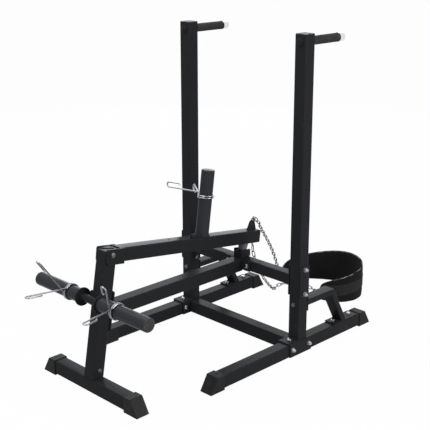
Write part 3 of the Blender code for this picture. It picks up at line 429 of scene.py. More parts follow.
@dataclass(frozen=True)
class Knit(Finish):
    """Woven or knitted cloth whose threads follow the piece's own cloth map."""

    colour: Colour = (0.0035, 0.0035, 0.0040)
    thread: Colour = (0.019, 0.0186, 0.0188)
    pitch: float = 0.0016
    roughness: float = 0.82
    sheen: float = 0.015
    depth: float = 0.00030
    diagonal: bool = False
    fuzz: float = 0.0012
    patches: float = 0.045

    def apply(self, paint: Paint) -> None:
        """Builds the nodes.

        Args:
            paint: The material's tree.
        """
        parts = paint.node("ShaderNodeSeparateXYZ", None, {"Vector": paint.place(uv=True)})
        along = Num(paint.tree, parts.outputs["X"])
        across = Num(paint.tree, parts.outputs["Y"])
        if self.diagonal:
            along, across = along + across, along - across
        wave = math.tau / self.pitch
        weave = ((along * wave).sine() * (across * wave).sine()) * 0.5 + 0.5
        fuzz = paint.grain(self.fuzz, 3.0, uv=True)
        cloud = paint.grain(self.patches, 3.0, uv=True)
        relief = weave * 0.7 + fuzz * 0.3
        tone = paint.blend(relief.step(0.35, 0.95), self.colour, self.thread)
        paint.set(base_color=paint.blend(cloud.step(0.5, 0.9) * 0.30, tone, self.thread),
                  roughness=self.roughness + 0.10 * fuzz - 0.05, sheen_weight=self.sheen, sheen_roughness=0.5,
                  specular_ior_level=0.04)
        paint.bump(relief, self.depth, 0.8)


POWDER = PowderCoat("satin_black_powder")
# Lighter copies of the black powder coat: their raised colour is painted light for the lit upper sides of the
# sleeves and the horn.
LIT_SLEEVE_COAT = PowderCoat("smooth_black_sleeve_painted_light", (0.0235, 0.0243, 0.0278), roughness=0.30, specular=0.045)
LIT_HORN_COAT = PowderCoat("smooth_black_horn_painted_light", (0.0235, 0.0243, 0.0278), roughness=0.30, specular=0.015)
WELD = PowderCoat("coated_weld", roughness=0.30, peel=0.0009)
FOOT_RUBBER = Moulded("foot_rubber", (0.0100, 0.0100, 0.0108), (0.030, 0.030, 0.031), 0.50, 0.07)
GRIP_RUBBER = Moulded("grip_rubber", (0.012, 0.012, 0.013), (0.04, 0.04, 0.04), specular=0.15, spark=0.0006)
STOP_RUBBER = Moulded("stop_rubber", (0.100, 0.100, 0.102), (0.16, 0.16, 0.16), 0.66)
PLUG_PLASTIC = Moulded("plug_plastic", (0.0130, 0.0130, 0.0140), (0.04, 0.04, 0.04), 0.40, 0.10, depth=0.00006)
END_PLASTIC = Moulded("sleeve_end_plastic", (0.022, 0.022, 0.024), roughness=0.46, specular=0.15,
                      depth=0.00006)
ZINC = Metal("bright_zinc", (0.36, 0.36, 0.37), (0.11, 0.108, 0.10), 0.30, tarnished=0.7)
# A darker copy of the bright zinc: painted shade for the bolts that sit in shadow.
SHADED_ZINC = Metal("zinc_painted_shade", (0.10, 0.10, 0.105), (0.035, 0.034, 0.033), 0.32, tarnished=0.7)
CHROME = Metal("polished_chrome", (0.74, 0.75, 0.76), (0.55, 0.55, 0.55), 0.16)
COLLAR_STEEL = Metal("bright_spring_wire", (0.23, 0.23, 0.24), (0.15, 0.15, 0.15), 0.20, marks=0.008,
                     relief=0.000002, patches=0.060)
CHAIN_STEEL = Metal("plated_chain", (0.13, 0.13, 0.135), (0.04, 0.039, 0.038), 0.28, marks=0.002,
                    relief=0.00002, tarnished=0.6)
BUSH_STEEL = Metal("bush_steel", (0.48, 0.47, 0.45), roughness=0.35)
PAD_CLOTH = Knit("pad_cloth")
STRAP_CLOTH = Knit("strap_webbing", (0.012, 0.0115, 0.0115), (0.036, 0.0345, 0.0345), 0.0022, depth=0.00045,
                   diagonal=True)
# Light grey tape colour: a painted highlight that stands for the lit top edge of the belt.
HIGHLIGHT_BINDING_CLOTH = Knit("edge_binding_painted_highlight", (0.24, 0.24, 0.242), (0.40, 0.40, 0.40), 0.0012)
THREAD_CLOTH = Knit("seam_thread", (0.030, 0.029, 0.028), (0.075, 0.072, 0.07), 0.0008)


class Shape:
    """A mesh in the making, shaped in its own frame by bmesh operators."""

    def __init__(self) -> None:
        """Starts empty."""
        self.mesh = bmesh.new()

    def box(self, low: Sequence[float], high: Sequence[float]) -> "Shape":
        """Adds a box.

        Args:
            low: Its lowest corner.
            high: Its highest corner.

        Returns:
            The shape itself.
        """
        middle = (Vector(low) + Vector(high)) / 2
        size = Vector(high) - Vector(low)
        matrix = Matrix.Translation(middle) @ Matrix.Diagonal((*size, 1.0))
        bmesh.ops.create_cube(self.mesh, size=1.0, matrix=matrix)
        return self

    def prism(self, across: float, low: float, high: float, sides: int = 6) -> "Shape":
        """Adds an upright prism.

        Args:
            across: Its width across the flats.
            low: Height of its bottom.
            high: Height of its top.
            sides: How many flats it has.

        Returns:
            The shape itself.
        """
        radius = across / 2 / math.cos(math.pi / sides)
        bmesh.ops.create_cone(self.mesh, cap_ends=True, cap_tris=False, segments=sides, radius1=radius,
                              radius2=radius, depth=high - low,
                              matrix=Matrix.Translation((0, 0, (low + high) / 2)))
        return self

    def turned(self, profile: Profile, steps: int = 32, closed: bool = False) -> "Shape":
        """Adds a profile spun about Z.

        Args:
            profile: Radius and height of each point.
            steps: Faces round the axis.
            closed: Joins the profile's last point to its first, as a tube's section needs.

        Returns:
            The shape itself.
        """
        verts = [self.mesh.verts.new((radius, 0.0, height)) for radius, height in profile]
        pairs = list(zip(verts, verts[1:])) + ([(verts[-1], verts[0])] if closed else [])
        edges = [self.mesh.edges.new(pair) for pair in pairs]
        bmesh.ops.spin(self.mesh, geom=verts + edges, cent=(0, 0, 0), axis=(0, 0, 1), angle=math.tau,
                       steps=steps, use_merge=True)
        bmesh.ops.remove_doubles(self.mesh, verts=self.mesh.verts[:], dist=1e-6)
        return self

    def ease(self, width: float, segments: int = 2, sharper: float = 30.0,
             within: Callable[[Vector, Vector], bool] | None = None) -> "Shape":
        """Rounds the sharp edges.

        Args:
            width: How far the rounding reaches from each edge.
            segments: Faces across it.
            sharper: Least turn in degrees between the faces of an edge that is rounded.
            within: A test that an edge's middle and direction have to pass.

        Returns:
            The shape itself.
        """
        edges = []
        for edge in self.mesh.edges:
            start, end = (vertex.co for vertex in edge.verts)
            sharp = len(edge.link_faces) == 2 and edge.calc_face_angle(0.0) > math.radians(sharper)
            if sharp and (within is None or within((start + end) / 2, (end - start).normalized())):
                edges.append(edge)
        bmesh.ops.bevel(self.mesh, geom=edges, offset=width, offset_type="OFFSET", segments=segments,
                        profile=0.5, affect="EDGES", clamp_overlap=True, material=-1)
        return self

    def add(self, other: "Shape", matrix: Matrix | None = None) -> "Shape":
        """Takes another shape in and uses it up.

        Args:
            other: The shape to take in.
            matrix: Where it goes in this shape's frame.

        Returns:
            The shape itself.
        """
        spare = bpy.data.meshes.new("spare")
        bmesh.ops.recalc_face_normals(other.mesh, faces=other.mesh.faces[:])
        other.mesh.to_mesh(spare)
        other.mesh.free()
        if matrix is not None:
            spare.transform(matrix)
        self.mesh.from_mesh(spare)
        bpy.data.meshes.remove(spare)
        return self

    def wire(self, points: Iterable[Sequence[float]], radius: float, cyclic: bool = False,
             resolution: int = 2, swell: Sequence[float] | None = None) -> "Shape":
        """Adds a round wire along points.

        Args:
            points: The wire's centre line.
            radius: The wire's radius.
            cyclic: Whether the wire closes on itself.
            resolution: The curve's bevel resolution.
            swell: A factor on the radius at each point.

        Returns:
            The shape itself.
        """
        points = [Vector(point) for point in points]
        curve = bpy.data.curves.new("wire", "CURVE")
        curve.dimensions = "3D"
        curve.bevel_depth = radius
        curve.bevel_resolution = resolution
        curve.use_fill_caps = not cyclic
        spline = curve.splines.new("POLY")
        spline.points.add(len(points) - 1)
        for index, (target, point) in enumerate(zip(spline.points, points)):
            target.co = (*point, 1.0)
            target.radius = swell[index] if swell else 1.0
        spline.use_cyclic_u = cyclic
        holder = bpy.data.objects.new("wire", curve)
        bpy.context.scene.collection.objects.link(holder)
        bpy.context.view_layer.update()
        spare = bpy.data.meshes.new_from_object(holder.evaluated_get(bpy.context.evaluated_depsgraph_get()))
        self.mesh.from_mesh(spare)
        bmesh.ops.remove_doubles(self.mesh, verts=self.mesh.verts[:], dist=1e-6)
        bpy.data.meshes.remove(spare)
        bpy.data.objects.remove(holder)
        bpy.data.curves.remove(curve)
        return self


@dataclass
class Piece:
    """A finished piece: its name, what it rides on, its finish and the solids that it stands for."""

    name: str
    body: Body
    slot: Slot
    finish: Finish
    stands_for: tuple[str, ...] = ()
    smooth: float = 38.0
    keep_normals: bool = False

    def make(self, shape: Shape, matrix: Matrix | None = None) -> bpy.types.Object:
        """Turns a shape into a dressed object at the origin, with its place in its mesh.

        Args:
            shape: The shape, which is used up.
            matrix: Where the shape goes in the world.

        Returns:
            The object.
        """
        if matrix is not None:
            bmesh.ops.transform(shape.mesh, matrix=matrix, verts=shape.mesh.verts[:])
        if not self.keep_normals:
            bmesh.ops.recalc_face_normals(shape.mesh, faces=shape.mesh.faces[:])
        data = bpy.data.meshes.new(self.name)
        shape.mesh.to_mesh(data)
        shape.mesh.free()
        data.shade_smooth()
        data.set_sharp_from_angle(angle=math.radians(self.smooth))
        made = bpy.data.objects.new(self.name, data)
        bpy.context.scene.collection.objects.link(made)
        data.materials.append(self.finish.material())
        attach(made, self.body.value)
        if self.stands_for:
            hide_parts(*self.stands_for)
        return made


class Assembly:
    """A group of pieces that are built together."""

    def build(self) -> list[bpy.types.Object]:
        """Builds the pieces.

        Returns:
            The objects made.
        """
        raise NotImplementedError


@dataclass
class CoatedSteel(Assembly):
    """The powder coated tubes and plates, with their sharp edges eased as bent and cut steel has them."""

    frame_nodes: tuple[str, ...] = (
        "front_foot_tube", "front_post", "storage_bar", "spine_beam", "stop_seat", "base_tube_left",
        "base_tube_right", "lower_cross_tube", "upper_cross_tube", "backing_plate_left",
        "backing_plate_right", "upright_left", "upright_right", "rear_brace_left", "rear_brace_right")
    lever_nodes: tuple[str, ...] = ("lever_arm",)
    edge: float = 0.0007
    flat: float = math.radians(0.6)

    def build(self) -> list[bpy.types.Object]:
        """Builds the pieces."""
        made = [self.eased(node, Body.FRAME) for node in self.frame_nodes]
        return made + [self.eased(node, Body.LEVER) for node in self.lever_nodes]

    def eased(self, node: str, body: Body) -> bpy.types.Object:
        """A copy of a solid with eased edges and even shading on its flats.

        Args:
            node: The solid's name.
            body: What it rides on.

        Returns:
            The object that stands for the solid.
        """
        shape = Shape()
        shape.mesh.from_mesh(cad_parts[node].data)
        mesh = shape.mesh
        bmesh.ops.remove_doubles(mesh, verts=mesh.verts[:], dist=2e-6)
        bmesh.ops.dissolve_limit(mesh, angle_limit=self.flat, verts=mesh.verts[:], edges=mesh.edges[:])
        shape.ease(self.edge, 2, 50.0)
        piece = Piece(node + "_coated", body, Slot.POWDER, POWDER, (node,), smooth=48.0, keep_normals=True)
        return settle(piece.make(shape))


def outward(side: int) -> Facing:
    """Away from the middle: right for side 1 and left for side -1."""
    return Facing.RIGHT if side > 0 else Facing.LEFT


def settle(made: bpy.types.Object) -> bpy.types.Object:
    """Gives large flat faces the say over the shading of the small ones beside them.

    Args:
        made: The object to shade.

    Returns:
        The same object, with its own normals and no modifier left.
    """
    step = made.modifiers.new("even", "WEIGHTED_NORMAL")
    step.keep_sharp = True
    step.weight = 80
    bpy.context.view_layer.update()
    shaded = bpy.data.meshes.new_from_object(made.evaluated_get(bpy.context.evaluated_depsgraph_get()))
    old = made.data
    made.modifiers.remove(step)
    made.data = shaded
    shaded.name = old.name
    bpy.data.meshes.remove(old)
    return made


@dataclass
class Welds(Assembly):
    """Coated weld beads where tubes meet plates."""

    radius: float = 0.0021
    pitch: float = 0.0026
    trough: float = 0.78
    unevenness: float = 0.25
    ripples: float = 90.0
    corner: float = 0.0035
    inset: float = 0.002
    brace_front: float = 0.0312
    brace_heights: tuple[float, float] = (0.2103, 0.1868)
    brace_foot: tuple[float, float] = (0.2412, 0.0612)
    cross_end: float = 0.2617
    cross_half: float = 0.0215
    spine_front: tuple[float, float] = (-0.6728, 0.287)
    spine_rear: float = -0.0274
    spine_outline: tuple[tuple[float, float], ...] = ((-0.025, 0.2705), (-0.025, 0.3085), (-0.022, 0.3118),
                                                      (0.022, 0.3118), (0.025, 0.3085), (0.025, 0.2705))
    tab_face: float = 0.0048
    tab_ends: tuple[float, float] = (0.7020, 0.7449)
    tab_rise: float = 0.0004
    yoke_face: float = 0.0254
    yoke_rear: float = 0.0567
    yoke_depths: tuple[float, float] = (0.004, 0.0480)
    horn_foot: tuple[float, float] = (0.0258, 0.0058)

    def build(self) -> list[bpy.types.Object]:
        """Builds the pieces.

        Returns:
            The objects made.
        """
        half = TUBE / 2
        made = []
        for side, word in SIDES:
            x = side * UPRIGHT_X
            upright = Shape()
            self.run(upright, [(u, v, 0.0) for u, v in self.square(half)], True)
            made.append(self.piece("upright_weld_" + word).make(upright, Facing.UP.at((x, 0, PLATE_TOP))))
            brace = Shape()
            for y, z in [(self.brace_front, level) for level in self.brace_heights] + [self.brace_foot]:
                self.run(brace, [(x - half + self.inset, y, z), (x + half - self.inset, y, z)])
            made.append(self.piece("brace_weld_" + word).make(brace, RIG))
        ends = Shape()
        for side, _ in SIDES:
            outline = self.square(self.cross_half)
            self.run(ends, [(side * self.cross_end, y, z + CROSS_Z) for y, z in outline], True)
        made.append(self.piece("cross_tube_weld").make(ends, RIG))
        spine = Shape()
        front, middle = self.spine_front
        self.run(spine, [(x, front + z * math.tan(POST_LEAN), middle + z) for x, z in self.square(half)], True)
        self.run(spine, [(x, self.spine_rear, z) for x, z in self.spine_outline])
        made.append(self.piece("spine_weld").make(spine, RIG))
        made.append(self.piece("lever_weld", Body.LEVER).make(self.lever_beads(), ARM))
        return made

    def lever_beads(self) -> Shape:
        """The beads beside the chain tab and the yoke's plates and round the horn's foot.

        Returns:
            The beads in the lever's frame.
        """
        shape = Shape()
        for side, _ in SIDES:
            self.run(shape, [(side * self.tab_face, y, LEVER_TOP + self.tab_rise) for y in self.tab_ends])
        for side, _ in SIDES:
            x, y = side * self.yoke_face, self.yoke_rear
            self.run(shape, [(x, y, LEVER_TOP - depth) for depth in self.yoke_depths])
        radius, rise = self.horn_foot
        turns = [math.tau * i / 48 for i in range(48)]
        self.run(shape, [(radius * math.cos(turn), HORN_Y + radius * math.sin(turn), LEVER_TOP + rise)
                         for turn in turns], True)
        return shape

    def piece(self, name: str, body: Body = Body.FRAME) -> Piece:
        """The piece that a bead becomes."""
        return Piece(name, body, Slot.POWDER, WELD, smooth=60.0)

    def square(self, half: float) -> list[tuple[float, float]]:
        """Corners of a tube's outline, cut a little so that the bead turns round them.

        Args:
            half: Half of the tube's width.

        Returns:
            The points, in order round the tube.
        """
        corners = []
        for su, sv in ((1, 1), (-1, 1), (-1, -1), (1, -1)):
            pair = [(su * half, sv * (half - self.corner)), (su * (half - self.corner), sv * half)]
            corners += pair if su * sv > 0 else pair[::-1]
        return corners

    def run(self, shape: Shape, corners: Sequence[Sequence[float]], closed: bool = False) -> None:
        """Adds one bead with the ripples that a welder's hand leaves.

        Args:
            shape: The shape that takes it.
            corners: The corners of its path.
            closed: Whether the path returns to its start.
        """
        knots = [Vector(corner) for corner in corners]
        if closed:
            knots.append(knots[0])
        points: list[Vector] = []
        for first, second in zip(knots, knots[1:]):
            count = max(1, round((second - first).length / (self.pitch / 2)))
            points += [first.lerp(second, i / count) for i in range(count)]
        if not closed:
            points.append(knots[-1])
        swell = [(1.0 if i % 2 else self.trough) * (0.9 + self.unevenness * noise.noise(point * self.ripples))
                 for i, point in enumerate(points)]
        shape.wire(points, self.radius, closed, 1, swell)


@dataclass
class FootCaps(Assembly):
    """Rubber caps on the ends of the foot and base tubes."""

    skin: float = 0.003
    under: float = 0.005
    sleeve: float = 0.028
    end: float = 0.006
    toe: float = 0.034
    round: float = 0.0024
    places: tuple[tuple[str, Facing, float, float], ...] = (
        ("front_foot_cap_left", Facing.LEFT, -0.222, -0.745),
        ("front_foot_cap_right", Facing.RIGHT, 0.222, -0.745),
        ("base_cap_front_left", Facing.FRONT, -UPRIGHT_X, -0.447),
        ("base_cap_front_right", Facing.FRONT, UPRIGHT_X, -0.447),
        ("base_cap_rear_left", Facing.REAR, -UPRIGHT_X, 0.383),
        ("base_cap_rear_right", Facing.REAR, UPRIGHT_X, 0.383))

    def build(self) -> list[bpy.types.Object]:
        """Builds the pieces.

        Returns:
            The objects made.
        """
        made = []
        for node, facing, x, y in self.places:
            heading = Matrix.Rotation(math.atan2(facing.value[1], facing.value[0]), 4, "Z")
            matrix = RIG @ Matrix.Translation((x, y, 0.0)) @ heading
            piece = Piece(node + "_moulded", Body.FRAME, Slot.RUBBER, FOOT_RUBBER, (node,))
            made.append(settle(piece.make(self.cap(), matrix)))
        return made

    def cap(self) -> Shape:
        """Shapes one cap.

        Returns:
            The cap, with +X pointing out of the tube's end.
        """
        half = TUBE / 2 + self.skin
        top = BASE_TOP + self.skin
        shape = Shape().box((-self.sleeve, -half, 0.0), (self.end, half, top))
        for vertex in shape.mesh.verts:
            if vertex.co.x > 0 and vertex.co.z < top / 2:
                vertex.co.x += self.toe
        shape.ease(self.round, 4, 20.0, lambda middle, way: middle.x > -self.sleeve + GAP)
        back = min(shape.mesh.faces, key=lambda face: face.calc_center_median().x)
        bmesh.ops.inset_region(shape.mesh, faces=[back], thickness=self.skin - GAP, use_even_offset=True)
        floor = min(vertex.co.z for vertex in back.verts)
        for vertex in back.verts:
            if vertex.co.z < BASE_TOP / 2:
                vertex.co.z += self.under - GAP - floor
        pushed = bmesh.ops.extrude_discrete_faces(shape.mesh, faces=[back])["faces"][0]
        for vertex in pushed.verts:
            vertex.co.x = GAP
        return shape


@dataclass
class Plugs(Assembly):
    """Plastic plugs in the open ends of the square tubes and round sleeves."""

    core: float = 0.018
    stem: float = 0.010
    crown: float = 0.004
    corner: float = 0.0045
    edge: float = 0.0014
    margin: float = 0.0045
    dish: float = 0.0007
    slope: float = 0.0010
    shy: float = 0.0005
    stem_corner: float = 0.0018
    wall: float = 0.0025
    play: float = 0.0006
    lip: float = 0.004
    post_top: tuple[float, float, float] = (0.0, -0.66600, 0.503)
    lever_end: float = 0.7495
    upright_top: float = 1.196

    def build(self) -> list[bpy.types.Object]:
        """Builds the pieces.

        Returns:
            The objects made.
        """
        lean = Matrix.Identity(4)
        lean[1][2] = math.tan(POST_LEAN)
        tip = Facing.REAR.at((0, self.lever_end, LEVER_TOP - TUBE / 2), ARM)
        squares = [("front_post_plug", RIG @ Matrix.Translation(self.post_top) @ lean, Body.FRAME),
                   ("lever_tip_plug", tip, Body.LEVER)]
        squares += [("upright_plug_" + word, Facing.UP.at((side * UPRIGHT_X, 0, self.upright_top)), Body.FRAME)
                    for side, word in SIDES]
        made = []
        for node, matrix, body in squares:
            piece = Piece(node + "_moulded", body, Slot.PLASTIC, PLUG_PLASTIC, (node,))
            made.append(settle(piece.make(self.square(), matrix)))
        rounds = [("weight_horn_plug", Facing.UP.at((0, HORN_Y, LEVER_TOP + HORN_LENGTH), ARM), Body.LEVER)]
        for side, word in SIDES:
            matrix = outward(side).at((side * STORAGE_END, STORAGE_Y, STORAGE_Z))
            rounds.append(("storage_plug_" + word, matrix, Body.FRAME))
        for node, matrix, body in rounds:
            piece = Piece(node + "_moulded", body, Slot.PLASTIC, END_PLASTIC, (node,))
            made.append(piece.make(self.round_plug(), matrix))
        return made

    def square(self) -> Shape:
        """Shapes a plug for a square tube, its face dished a little inside its rim.

        Returns:
            The plug, its crown up local Z.
        """
        half = TUBE / 2 - self.shy
        shape = Shape().box((-half, -half, GAP), (half, half, self.crown))
        shape.ease(self.corner, 4, 30.0, lambda middle, way: abs(way.z) > 0.9)
        shape.ease(self.edge, 3, 30.0, lambda middle, way: middle.z > self.crown - GAP)
        face = max(shape.mesh.faces, key=lambda one: one.calc_center_median().z * one.calc_area())
        for width, depth in ((self.margin, 0.0), (self.slope, -self.dish)):
            bmesh.ops.inset_region(shape.mesh, faces=[face], thickness=width, depth=depth,
                                   use_even_offset=True)
        inner = TUBE / 2 - self.wall - self.play
        stem = Shape().box((-inner, -inner, -self.stem), (inner, inner, GAP))
        return shape.add(stem.ease(self.stem_corner, 2, 30.0, lambda middle, way: abs(way.z) > 0.9))

    def round_plug(self) -> Shape:
        """Shapes a plug for a round sleeve, slightly domed.

        Returns:
            The plug, its dome up local Z.
        """
        core = SLEEVE_RADIUS - SLEEVE_WALL - self.play
        rim = SLEEVE_RADIUS - GAP
        deep, lip = self.core, self.lip
        return Shape().turned([
            (0.0, -deep), (core - 0.001, -deep), (core, -deep + 0.001), (core, GAP), (rim, GAP),
            (rim, lip * 0.45), (rim - 0.0006, lip * 0.75), (rim - 0.0020, lip * 0.95), (rim - 0.0045, lip),
            (rim - 0.0060, lip - 0.0005), (rim - 0.0075, lip - 0.0004), (0.010, lip + 0.0002),
            (0.0, lip + 0.0003)], 48)


@dataclass
class HexBolt:
    """A hexagon bolt with washers, thread and nut, its head below the origin and its shank up local Z."""

    grip: float
    radius: float = 0.005
    across: float = 0.0142
    head: float = 0.0064
    nut: float = 0.008
    stud: float = 0.006
    washer: float = 0.0012
    washer_share: float = 0.62
    thread: float = 0.00125
    thread_root: float = 0.86
    threaded: float = 0.012
    tip: float = 0.0009
    tip_share: float = 0.8
    chamfer: float = 0.0011
    edge: float = 0.0003

    def shape(self) -> Shape:
        """Shapes the whole bolt.

        Returns:
            The bolt.
        """
        top = self.grip + GAP
        made = self.hexagon(-GAP - self.head, -GAP - self.washer, True)
        made.add(self.ring(-GAP - self.washer, -GAP))
        if self.nut:
            made.add(self.ring(top, top + self.washer))
            made.add(self.hexagon(top + self.washer, top + self.nut, False))
        start, end = -GAP, top + self.nut + self.stud
        profile = [(0.0, start), (self.radius, start)]
        height = max(start + 0.001, top - self.threaded)
        while height < end - self.thread:
            profile += [(self.radius, height), (self.radius * self.thread_root, height + self.thread / 2)]
            height += self.thread
        profile += [(self.radius, end - self.tip), (self.radius * self.tip_share, end), (0.0, end)]
        return made.add(Shape().turned(profile, 20))

    def hexagon(self, low: float, high: float, downward: bool) -> Shape:
        """Shapes a hexagon with its outer corners chamfered.

        Args:
            low: Height of its bottom.
            high: Height of its top.
            downward: Whether its outer side is the bottom.

        Returns:
            The hexagon.
        """
        outer = low if downward else high
        shape = Shape().prism(self.across, low, high)
        shape.ease(self.chamfer, 2, 30.0, lambda middle, way: abs(middle.z - outer) < 1e-5)
        return shape.ease(self.edge, 1, 40.0, lambda middle, way: abs(way.z) > 0.9)

    def ring(self, low: float, high: float) -> Shape:
        """Shapes a washer.

        Args:
            low: Height of its bottom.
            high: Height of its top.

        Returns:
            The washer.
        """
        outer, edge = self.across * self.washer_share, self.edge
        return Shape().turned([
            (self.radius, low), (outer - edge, low), (outer, low + edge), (outer, high - edge),
            (outer - edge, high), (self.radius, high)], 32, closed=True)


@dataclass
class Fasteners(Assembly):
    """All bolts of the frame and the lever's pivot bolt."""

    post_foot: tuple[float, float, float] = (0.025, -0.739887, 0.084)
    saddle_half: float = 0.0303
    saddle_height: float = 0.036
    saddle_rows: tuple[tuple[float, str], ...] = ((-0.062, "front"), (0.030, "rear"))
    cross_start: float = 0.2622
    cross_grip: float = 0.0596
    cross_rows: tuple[tuple[float, str], ...] = ((-0.048, "lower"), (0.048, "upper"))
    brace_start: tuple[float, float] = (-0.025, 0.1985)
    brace_grip: float = 0.0553
    screws: tuple[tuple[float, str], ...] = ((-0.0455, "saddle"), (0.214, "brace_foot_front"),
                                             (0.314, "brace_foot_rear"))
    spine_screw: tuple[float, float, float] = (0.0500, -0.0268, 0.2900)
    pivot_start: float = 0.0306
    pivot: HexBolt = field(default_factory=lambda: HexBolt(
        0.0612, radius=0.006, across=0.017, head=0.0075, nut=0.0075, washer=0.0016))

    def build(self) -> list[bpy.types.Object]:
        """Builds the pieces.

        Returns:
            The objects made.
        """
        # The foot bolt, the brace bolts and the pivot bolt take the darker zinc, which is painted shade.
        made = [self.bolt("post_foot_bolt", HexBolt(TUBE), Facing.LEFT.at(self.post_foot), SHADED_ZINC)]
        for side, word in SIDES:
            x = side * UPRIGHT_X
            away = outward(side)
            for y, where in self.saddle_rows:
                made.append(self.bolt("saddle_bolt_" + where + "_" + word, HexBolt(2 * self.saddle_half),
                                      away.at((x - side * self.saddle_half, y, self.saddle_height))))
            for rise, where in self.cross_rows:
                # The left cross bolts take the darker zinc as painted shade, and the same bolts on the right
                # take the bright zinc.
                made.append(self.bolt("cross_bolt_" + where + "_" + word, HexBolt(self.cross_grip),
                                      away.at((side * self.cross_start, 0, CROSS_Z + rise)),
                                      ZINC if side > 0 else SHADED_ZINC))
            made.append(self.bolt("brace_bolt_" + word, HexBolt(self.brace_grip, nut=0.0, stud=0.008),
                                  Facing.REAR.at((x, *self.brace_start)), SHADED_ZINC))
            for y, where in self.screws:
                made.append(self.screw(where + "_screw_" + word, Facing.DOWN.at((x, y, PLATE_TOP))))
            spine_x, spine_y, spine_z = self.spine_screw
            made.append(self.screw("spine_flange_screw_" + word,
                                   Facing.REAR.at((side * spine_x, spine_y, spine_z))))
        place = Facing.LEFT.at((self.pivot_start, 0, 0), ARM)
        made.append(self.bolt("pivot_bolt", self.pivot, place, SHADED_ZINC, Body.LEVER))
        return made

    def bolt(self, node: str, bolt: HexBolt, matrix: Matrix, finish: Finish = ZINC, body: Body = Body.FRAME
             ) -> bpy.types.Object:
        """One bolt that stands for its solid."""
        return Piece(node + "_threaded", body, Slot.ZINC, finish, (node,)).make(bolt.shape(), matrix)

    def screw(self, name: str, matrix: Matrix) -> bpy.types.Object:
        """A short bolt through a plate, its head on the plate, that no solid stands for."""
        short = HexBolt(0.009, nut=0.0, stud=0.004)
        return Piece(name, Body.FRAME, Slot.ZINC, ZINC).make(short.shape(), matrix)


@dataclass
class Handles(Assembly):
    """Two handles at the uprights' tops: a bar with a boss in front, a grip and a bright cap."""

    height: float = 1.172
    bar: float = 0.0125
    boss: float = 0.015
    start: float = 0.029
    length: float = 0.151
    grip: float = 0.016
    flange: float = 0.0166
    flange_width: float = 0.005
    ring_pitch: float = 0.0055
    ring_depth: float = 0.0006
    ring_margin: float = 0.016
    cap: float = 0.0275

    def build(self) -> list[bpy.types.Object]:
        """Builds the pieces.

        Returns:
            The objects made.
        """
        made = []
        for side, word in SIDES:
            matrix = Facing.REAR.at((side * UPRIGHT_X, 0, self.height))
            for node, slot, finish, shape in (("handle_bar_", Slot.POWDER, POWDER, self.bar_shape()),
                                              ("handle_grip_", Slot.RUBBER, GRIP_RUBBER, self.grip_shape()),
                                              ("handle_cap_", Slot.CHROME, CHROME, self.cap_shape())):
                piece = Piece(node + word + "_turned", Body.FRAME, slot, finish, (node + word,), smooth=32.0)
                made.append(piece.make(shape, matrix))
        return made

    def bar_shape(self) -> Shape:
        """Shapes the bar through the upright with a domed boss on its front end.

        Returns:
            The bar.
        """
        face = -TUBE / 2 - GAP
        end = self.start + self.length + self.cap * 0.5
        boss, bar = self.boss, self.bar
        return Shape().turned([
            (0.0, face - 0.005), (boss - 0.004, face - 0.0048), (boss - 0.0015, face - 0.0040),
            (boss, face - 0.0025), (boss, face), (bar, face), (bar, end), (0.0, end)], 40)

    def grip_shape(self) -> Shape:
        """Shapes the rubber grip, with a flange at each end and shallow rings along it.

        Returns:
            The grip.
        """
        bore, grip, flange, wide = self.bar + GAP, self.grip, self.flange, self.flange_width
        low, high = self.start, self.start + self.length
        profile = [(bore, low), (flange - 0.001, low), (flange, low + 0.001), (flange, low + wide - 0.0015),
                   (flange - 0.0015, low + wide), (grip, low + wide + 0.0008)]
        station = low + self.ring_margin
        while station < high - self.ring_margin:
            profile += [(grip, station), (grip - self.ring_depth, station + 0.0007),
                        (grip - self.ring_depth, station + 0.0013), (grip, station + 0.0020)]
            station += self.ring_pitch
        profile += [(grip, high - wide - 0.0008), (flange - 0.0015, high - wide),
                    (flange, high - wide + 0.0015), (flange, high - 0.001), (flange - 0.001, high),
                    (bore, high)]
        return Shape().turned(profile, 40, closed=True)

    def cap_shape(self) -> Shape:
        """Shapes the bright cap pressed over the bar's end.

        Returns:
            The cap.
        """
        low = self.start + self.length + GAP
        high = low + self.cap
        deep = low + self.cap * 0.5
        bore, grip = self.bar + GAP, self.grip
        return Shape().turned([
            (0.0, deep), (bore, deep), (bore, low), (grip - 0.0008, low), (grip, low + 0.0008),
            (grip, high - 0.0045), (grip - 0.0008, high - 0.0022), (grip - 0.0028, high - 0.0007),
            (grip - 0.006, high), (0.0, high)], 48)


